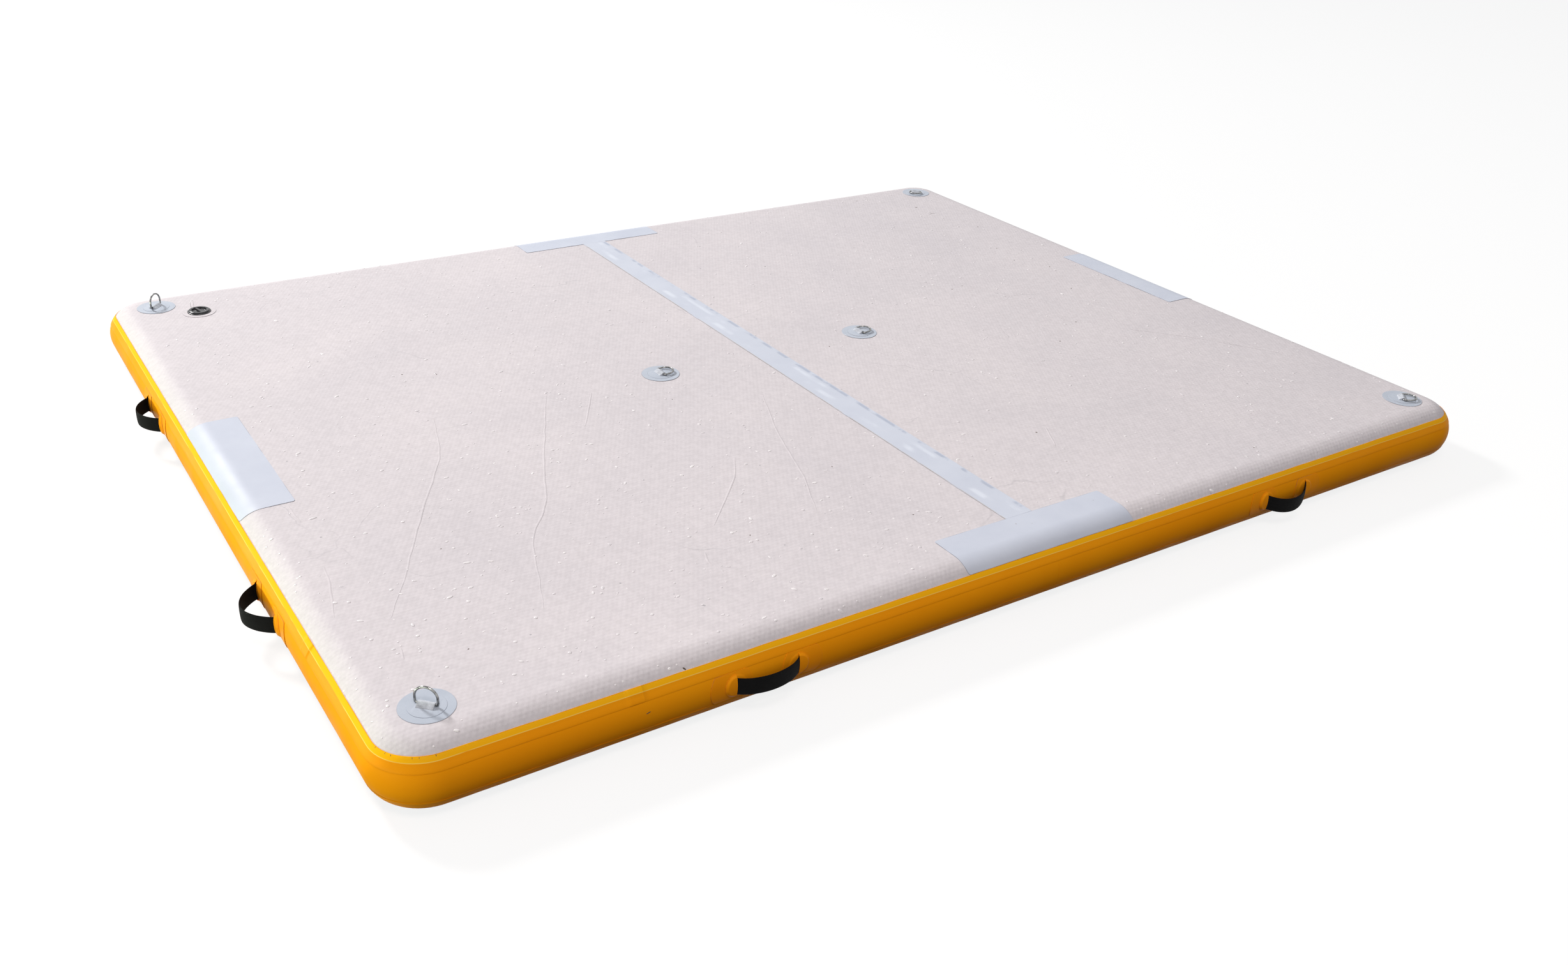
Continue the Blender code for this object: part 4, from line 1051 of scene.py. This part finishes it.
def makeValve():
    # turned pieces, each a profile of radius and height over the deck
    v = valveSizes
    hole, reach, flange, bowl, barrel, well, cap = (
        v[key] for key in ("hole", "patch", "flange", "bowl", "barrel", "well", "cap"))
    flangeBottom = layerTop + gap
    flangeTop = flangeBottom + v["flangeThickness"]
    seatTop = v["seatThickness"] - v["depth"]
    capBottom = flangeTop + gap
    capTop = capBottom + v["capThickness"]
    wellFloor = capTop - v["wellDepth"]
    plug = bowl - v["plugGap"]
    plugEnd = flangeTop - v["plugLength"]

    cutter = turnedGrid([(0, 0.004), (hole, 0.004), (hole, -0.004), (0, -0.004)], valveCentre)
    cutWith(bpy.data.objects["deck_left_skin"], cutter, 32.0, "DIFFERENCE")

    patchProfile = [(hole, gap), (hole, layerTop), (reach - 0.0004, layerTop), (reach, layerTop - 0.0003),
                    (reach, gap), (hole, gap)]
    addPiece("valve_reinforcement", [turnedGrid(patchProfile, valveCentre)], discVinyl,
             "valve_patch", sharpAngle=32.0)

    bodyProfile = [
        (bowl, flangeTop - 0.0003), (bowl + 0.0003, flangeTop), (flange - 0.0016, flangeTop),
        (flange - 0.0009, flangeTop - 0.0002), (flange - 0.0003, flangeTop - 0.0007),
        (flange, flangeTop - 0.0014), (flange, flangeBottom), (barrel, flangeBottom), (barrel, -v["depth"]),
        (v["seat"], -v["depth"]), (v["seat"], seatTop), (bowl, seatTop), (bowl, flangeTop - 0.0003)]
    addPiece("valve_flange_and_bowl", [turnedGrid(bodyProfile, valveCentre, 96)], blackMoulding,
             "valve_body", sharpAngle=32.0)

    capProfile = [
        (0, wellFloor), (well - 0.0014, wellFloor), (well - 0.0005, wellFloor + 0.0003),
        (well, wellFloor + 0.0012), (well + 0.0003, capTop - 0.0007), (well + 0.0007, capTop - 0.0002),
        (well + 0.0014, capTop), (cap - 0.0020, capTop), (cap - 0.0010, capTop - 0.0002),
        (cap - 0.0003, capTop - 0.0007), (cap, capTop - 0.0015), (cap, capBottom + 0.0003),
        (cap - 0.0003, capBottom), (plug, capBottom), (plug, plugEnd + 0.0005), (plug - 0.0005, plugEnd),
        (0, plugEnd)]
    capShell = addPiece("valve_cap_shell", [turnedGrid(capProfile, valveCentre, 96, v["gripBearing"])],
                        blackMoulding, "valve_cap", "valve_cap", sharpAngle=32.0)
    cutWith(capShell, gripBar(wellFloor - gap, capTop - gap), 38.0, "UNION")
    shade(capShell.data, 32.0)
    makeTether(flangeTop + gap)


def gripBar(low, high):
    # a bar across the cap's well, its section a rounded box: width and height by powers of cos and sin
    v = valveSizes
    end = v["well"] + 0.0007
    u = np.concatenate([[-end], np.linspace(-end, end, 9), [end]])[:, None]
    scale = np.concatenate([[0], np.ones(9), [0]])[:, None]
    angle = np.linspace(0, math.tau, 41)[None]
    across = signedPower(np.cos(angle), 0.35) * v["grip"] / 2 * scale
    lift = signedPower(np.sin(angle), 0.35) * (high - low) / 2 * scale + (low + high) / 2
    points = pile(*turnedPlan(valveCentre, v["gripBearing"], u, across), valveCentre[2] + lift)
    return points, pile(u, across), 1.0, False


def makeTether(foot):
    # a clear wire: up from the flange, over in half a circle and down again
    v = valveSizes
    radius = (v["cap"] + v["flange"]) / 2
    bearings = np.radians(v["tetherBearings"])
    feet = pile(radius * np.cos(bearings), radius * np.sin(bearings), 0.0)
    across = (feet[0] - feet[1]) / 2
    loopRadius = np.linalg.norm(across)
    bend = v["tetherHeight"] - loopRadius
    turn = np.linspace(0, math.pi, 25)[:, None]
    up = np.array([0.0, 0.0, 1.0])
    climb = np.linspace(0, bend, 8)[:-1, None] * up
    path = np.concatenate([
        feet[0] + climb, feet.mean(0) + across * np.cos(turn) + up * (bend + loopRadius * np.sin(turn)),
        (feet[1] + climb)[::-1]]) + valveCentre + up * foot
    wire = sweptGrid(path, np.cross(across / loopRadius, up), v["tetherWire"], 12)
    addPiece("tether_loop", [wire], clearPlastic, "cap_tether")


def makeSpring():
    # a coil round the stem
    v = valveSizes
    low, high = (np.array(corner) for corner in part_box("poppet_spring"))
    middle = (low + high) / 2
    radius = (high[0] - low[0]) / 2 - v["springWire"]
    turn = np.linspace(0, math.tau * v["springTurns"], 24 * v["springTurns"] + 1)
    climb = np.linspace(low[2] + v["springWire"], high[2] - v["springWire"], len(turn))
    path = pile(middle[0] + radius * np.cos(turn), middle[1] + radius * np.sin(turn), climb)
    coil = sweptGrid(path, np.array([0.0, 0.0, 1.0]), v["springWire"], 10)
    spring = addPiece("return_spring", [coil], polishedSteel, "poppet_spring")
    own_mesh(spring)


makeValve()
makeSpring()
print("valve made")


# Creases, marks and drops

# plan places of the deck's creases; a crease runs smoothly through its places
creasePlaces = {
    "rear left to near left": ((-0.96, 0.03), (-1.02, -0.18), (-1.16, -0.43), (-1.29, -0.68),
                               (-1.36, -0.80)),
    "middle of the left half": ((-0.65, 0.04), (-0.83, -0.34), (-0.905, -0.52), (-0.995, -0.64),
                                (-1.09, -0.915)),
    "short, rear": ((-0.545, -0.015), (-0.66, -0.21)),
    "near the seam": ((-0.15, -0.22), (-0.245, -0.44), (-0.33, -0.70), (-0.40, -0.85)),
    "front middle": ((-0.41, -0.51), (-0.46, -0.60), (-0.635, -0.79)),
    "front, bent": ((-0.70, -0.865), (-0.72, -0.91), (-0.715, -0.935)),
    "along the left edge": ((-1.405, -0.53), (-1.415, -0.61), (-1.45, -0.75)),
    "left edge, short": ((-1.40, -0.25), (-1.395, -0.35)),
    "near corner": ((-1.37, -0.89), (-1.38, -0.94)),
    "right half": ((0.385, -0.74), (0.32, -0.855)),
    "right edge": ((1.08, -0.35), (1.22, -0.50), (1.36, -0.71)),
}
creaseSizes = {"width": 0.0050, "height": 0.00065, "wander": 0.0022}
# plan places of dark spots, and the radius of each in millimetres
spotPlaces = {
    (-0.94, 0.31): 1.5, (-0.86, 0.27): 1.5, (-0.385, -0.16): 1.4, (-1.265, -0.96): 1.3, (-0.58, -0.855): 1.6,
    (0.395, 0.615): 1.6, (1.115, 1.095): 2.0, (1.273, 0.931): 2.4, (1.33, 0.64): 2.0, (1.23, 0.42): 1.6,
    (1.20, 0.295): 1.6, (1.265, 0.19): 1.6, (0.82, 0.165): 1.8, (0.87, 0.175): 1.5, (1.18, -0.005): 1.6,
    (0.98, -0.235): 1.7, (0.825, -0.33): 1.8, (0.28, 0.045): 1.4, (0.19, -0.05): 1.4, (0.335, -0.765): 2.2,
    (-0.21, -0.955): 1.5, (0.77, -1.097): 1.6, (-0.236, -0.673): 1.3, (-1.177, -0.591): 1.2,
}
hairPlaces = ((1.262, 0.838), (1.277, 0.846), (1.292, 0.838))
dropField = {"count": 1300, "radius": (0.0017, 0.0041), "height": 0.32, "reach": 0.088, "clearance": 0.006,
             "seed": 7}


def throughPlaces(places, step=0.006):
    # a smooth run through the places: straight stretches resampled, then averaged over a few steps
    places = np.asarray(places, float)
    run = runAlong(places)
    count = max(int(run[-1] / step), 8)
    along = np.linspace(0, run[-1], count)
    line = pile(*(np.interp(along, run, column) for column in places.T))
    reach = min(7, count // 4)
    padded = np.concatenate([np.repeat(line[:1], reach, 0), line, np.repeat(line[-1:], reach, 0)])
    window = np.ones(2 * reach + 1) / (2 * reach + 1)
    return pile(*(np.convolve(column, window, "valid") for column in padded.T))


def beadGrid(place, u, v, width, height):
    # a bead along a path on a surface: half an ellipse that tapers to nothing at both ends
    points = place(u, v, 0.0)
    normal = place(u, v, 0.001) - points
    normal /= np.linalg.norm(normal, axis=1)[:, None]
    side = np.cross(np.gradient(points, axis=0), normal)
    side /= np.linalg.norm(side, axis=1)[:, None]
    taper = np.sin(math.pi * np.linspace(0, 1, len(points)))[:, None, None] ** 0.4
    angle = np.linspace(0, math.tau, 11)[None, :, None]
    upward = np.where(np.sin(angle) > 0, height, 0.0001) * np.sin(angle)
    grid = points[:, None] + taper * (np.cos(angle) * width / 2 * side[:, None] + upward * normal[:, None])
    return grid, pile(runAlong(points)[:, None], angle[:, :, 0] * width / 2), 1.0, True


def domeGrid(place, x, y, radius, height, stretch, bearing):
    # one drop: rings of a flattened half ball, its underside sunk a little
    turn = np.linspace(0, math.tau, 9)[None]
    share = np.array([0, 1, 1, 0.82, 0.5, 0])[:, None]
    level = np.array([-0.2, -0.2, 0.25, 0.68, 0.93, 1])[:, None]
    a, b = share * radius * stretch * np.cos(turn), share * radius * np.sin(turn)
    return place(*turnedPlan((x, y), bearing, a, b), level * height), pile(a, b), 1.0, False


def makeCreases():
    grids = []
    for index, places in enumerate(creasePlaces.values()):
        x, y = throughPlaces(places).T
        wander = creaseSizes["wander"] * ripple(x, y, 0.09, 70 + index)
        grids.append(beadGrid(onDeck, x + wander, y, creaseSizes["width"], creaseSizes["height"]))
    addPiece("deck_creases", grids, discVinyl, sharpAngle=70.0)


def makeSpots():
    # flat spots, and one short hair
    draw = np.random.default_rng(5)
    grids = []
    for (x, y), radius in spotPlaces.items():
        stretch, bearing = draw.uniform(1.0, 2.0), draw.uniform(0, math.pi)
        grids.append(domeGrid(onDeck, x, y, radius * 0.001, 0.0003, stretch, bearing))
    grids.append(beadGrid(onDeck, *throughPlaces(hairPlaces, 0.002).T, 0.0012, 0.0003))
    addPiece("deck_spots", grids, darkMark, sharpAngle=70.0)


def clearOfFittings(x, y):
    # whether a plan place is bare skin: off the corners, pads, valve, panels and strip
    across, back = np.abs(x), np.abs(y)
    fromCorner = np.hypot(np.maximum(across - straightX, 0.0), np.maximum(back - straightY, 0.0))
    bare = fromCorner < dropField["reach"]
    bare &= across > chamber["stripWidth"] / 2 + dropField["clearance"]
    halfPanel = chamber["panelLength"] / 2 + dropField["clearance"]
    inner = chamber["panelInset"] + 0.01
    bare &= ~((across < halfPanel) & (back > halfWidth - inner))
    bare &= ~((back < halfPanel) & (across > halfLength - inner))
    for place, keep in [(joints[node]["pos_m"], 0.057) for node in ringPoses] + [(valveCentre, 0.051)]:
        bare &= np.hypot(x - place[0], y - place[1]) > keep
    return bare


def makeDrops():
    # drops lie thicker towards the left and front edges
    draw = np.random.default_rng(dropField["seed"])
    count = dropField["count"] * 4
    x = draw.uniform(-halfLength, halfLength, count)
    y = draw.uniform(-halfWidth, halfWidth, count)
    thick = 0.30 + 0.55 * smooth((0.2 - x) / 1.6) * smooth((0.9 - y) / 1.8) + 0.15 * smooth((-0.6 - y) / 0.5)
    kept = clearOfFittings(x, y) & (draw.uniform(0, 1, count) < thick)
    x, y = x[kept][:dropField["count"]], y[kept][:dropField["count"]]
    small, large = dropField["radius"]
    radius = small + (large - small) * draw.uniform(0, 1, len(x)) ** 2.2
    stretch = 1 + 1.3 * draw.uniform(0, 1, len(x)) ** 3
    bearing = draw.uniform(0, math.pi, len(x))
    drops = zip(x, y, radius, radius * dropField["height"], stretch, bearing)
    addPiece("deck_drops", [domeGrid(onDeck, *drop) for drop in drops], waterDrop,
             sharpAngle=60.0)


def makeEdgeMarks():
    # the laps of the left wall and front wall, and dark scuffs on the tape round the near corner
    def onTape(along, angle, rise):
        return edgePoint(along, angle, rise + layerTop)

    def upWall(low, high, steps):
        return np.radians(np.linspace(low, high, steps))

    corner = knots[7]
    leftLap = knots[6] + straightY + 0.614 + 0.004 * np.sin(np.linspace(0, math.pi, 24))
    dark = [beadGrid(edgePoint, leftLap, upWall(-34.0, 21.0, 24), 0.0012, 0.0002),
            beadGrid(edgePoint, np.linspace(-1.0294, -1.0194, 10), upWall(4.6, 6.4, 10), 0.0022, 0.0002)]
    for share in (0.15, 0.32, 0.40, 0.66, 0.74, 0.93):
        along = np.full(8, corner + quarter * share)
        dark.append(beadGrid(onTape, along, upWall(43.5, 46.5, 8), 0.0011, 0.0002))
    dark.append(domeGrid(onRoll, -0.9346, rollRadius * math.radians(50.0), 0.0018, 0.0004, 2.2, -0.9))
    addPiece("edge_marks", dark, darkMark, sharpAngle=70.0)

    # pale scuffs low on the near corner, and one scratch
    draw = np.random.default_rng(17)
    pale = []
    for share in np.linspace(0.25, 0.95, 9):
        along = corner + quarter * share + draw.uniform(-0.006, 0.006)
        arc = rollRadius * math.radians(draw.uniform(-52.0, -42.0))
        spans = ((0.0008, 0.0022), (1.5, 3.5), (-0.4, 0.4))
        radius, stretch, bearing = (draw.uniform(*span) for span in spans)
        pale.append(domeGrid(onRoll, along, arc, radius, 0.0002, stretch, bearing))
    scratch = corner + quarter * 0.5 + np.linspace(0, 0.016, 12)
    pale.append(beadGrid(edgePoint, scratch, upWall(-38.0, -33.0, 12), 0.0012, 0.00015))
    addPiece("corner_scuffs", pale, paleMark, sharpAngle=70.0)


makeCreases()
makeSpots()
makeDrops()
makeEdgeMarks()
print("marks and drops made")


# Finish of the pieces kept from the frame

keptNodes = {
    "drop_stitch_core_left": yarnCloth, "drop_stitch_core_right": yarnCloth,
    "inner_seam_strip": baseVinyl, "valve_backing_nut": blackMoulding, "valve_poppet": blackMoulding,
    "cap_seal": blackRubber,
}
for name, material in keptNodes.items():
    materials = frame["nodes"][name].data.materials
    materials.clear()
    materials.append(material)


# Floor, light and background

studio = {
    "floorSize": 80.0, "floorHeight": -0.0003, "floorColour": (0.90, 0.90, 0.90),
    "bounceColour": (0.07, 0.04, 0.02), "cameraShare": 0.80, "cameraLevel": 1.04,
    "skyColour": (0.94, 0.96, 1.0), "skyLevel": 0.34,
}
# place, point lit, size, colour, and level, which is what a white card at the point lit would show
lamps = {
    "rear_lamp": ((-3.5, 9.0, 7.5), (-0.3, 0.0, 0.15), (1.8, 1.8), (1.0, 0.985, 0.97), 0.96),
    "front_lamp": ((-1.96, -3.7, 5.36), (-0.5, -1.22, 0.08), (2.4, 1.6), (1.0, 0.91, 0.86), 0.40),
    "side_lamp": ((-2.3, 0.0, 0.035), (-1.524, 0.0, 0.06), (3.4, 0.06), (0.86, 1.0, 0.72), 2.35),
}


def clearedTree(owner):
    # the empty tree of a material or world, and 1 for what is seen straight, mirrored or through glass
    owner.use_nodes = True
    tree = owner.node_tree
    tree.nodes.clear()
    path = addNode(tree, "ShaderNodeLightPath").outputs
    mirroredOrClear = maths("MAXIMUM", path["Is Glossy Ray"], path["Is Transmission Ray"])
    return tree, maths("MAXIMUM", path["Is Camera Ray"], mirroredOrClear)


def mixShaders(tree, share, first, second, output):
    mixed = addNode(tree, "ShaderNodeMixShader", {0: share, 1: first.outputs[0], 2: second.outputs[0]})
    addNode(tree, output, {"Surface": mixed.outputs[0]})


def makeFloor():
    mesh = bpy.data.meshes.new("floor")
    half, height = studio["floorSize"] / 2, studio["floorHeight"]
    corners = [(x * half, y * half, height) for x, y in ((-1, -1), (1, -1), (1, 1), (-1, 1))]
    mesh.from_pydata(corners, [], [(0, 1, 2, 3)])
    material = bpy.data.materials.new("paleFloor")
    tree, seen = clearedTree(material)
    colour = mixColour(seen, studio["bounceColour"], studio["floorColour"])
    plain = addNode(tree, "ShaderNodeBsdfDiffuse", {"Color": colour})
    bright = addNode(tree, "ShaderNodeEmission", {"Color": white, "Strength": studio["cameraLevel"]})
    mixShaders(tree, times(seen, studio["cameraShare"]), plain, bright, "ShaderNodeOutputMaterial")
    mesh.materials.append(material)
    addObject("floor", mesh)


def makeLights():
    # a lamp's power is its level x pi squared x the square of its distance
    for name, (place, target, size, colour, level) in lamps.items():
        lamp = bpy.data.lights.new(name, "AREA")
        lamp.shape = "RECTANGLE"
        lamp.size, lamp.size_y = size
        lamp.color = colour
        away = Vector(place) - Vector(target)
        lamp.energy = level * math.pi ** 2 * away.length_squared
        obj = addObject(name, lamp)
        obj.location = place
        obj.rotation_euler = away.to_track_quat("Z", "Y").to_euler()
        obj.visible_camera = False


def makeWorld():
    scene.world = bpy.data.worlds.new("studio")
    tree, seen = clearedTree(scene.world)
    sky = {"Color": studio["skyColour"], "Strength": studio["skyLevel"]}
    backdrop = {"Color": white, "Strength": 1.0}
    sky, backdrop = (addNode(tree, "ShaderNodeBackground", inputs) for inputs in (sky, backdrop))
    mixShaders(tree, seen, sky, backdrop, "ShaderNodeOutputWorld")


makeFloor()
makeLights()
makeWorld()
scene.view_settings.view_transform = "Standard"
print("stage and light made")
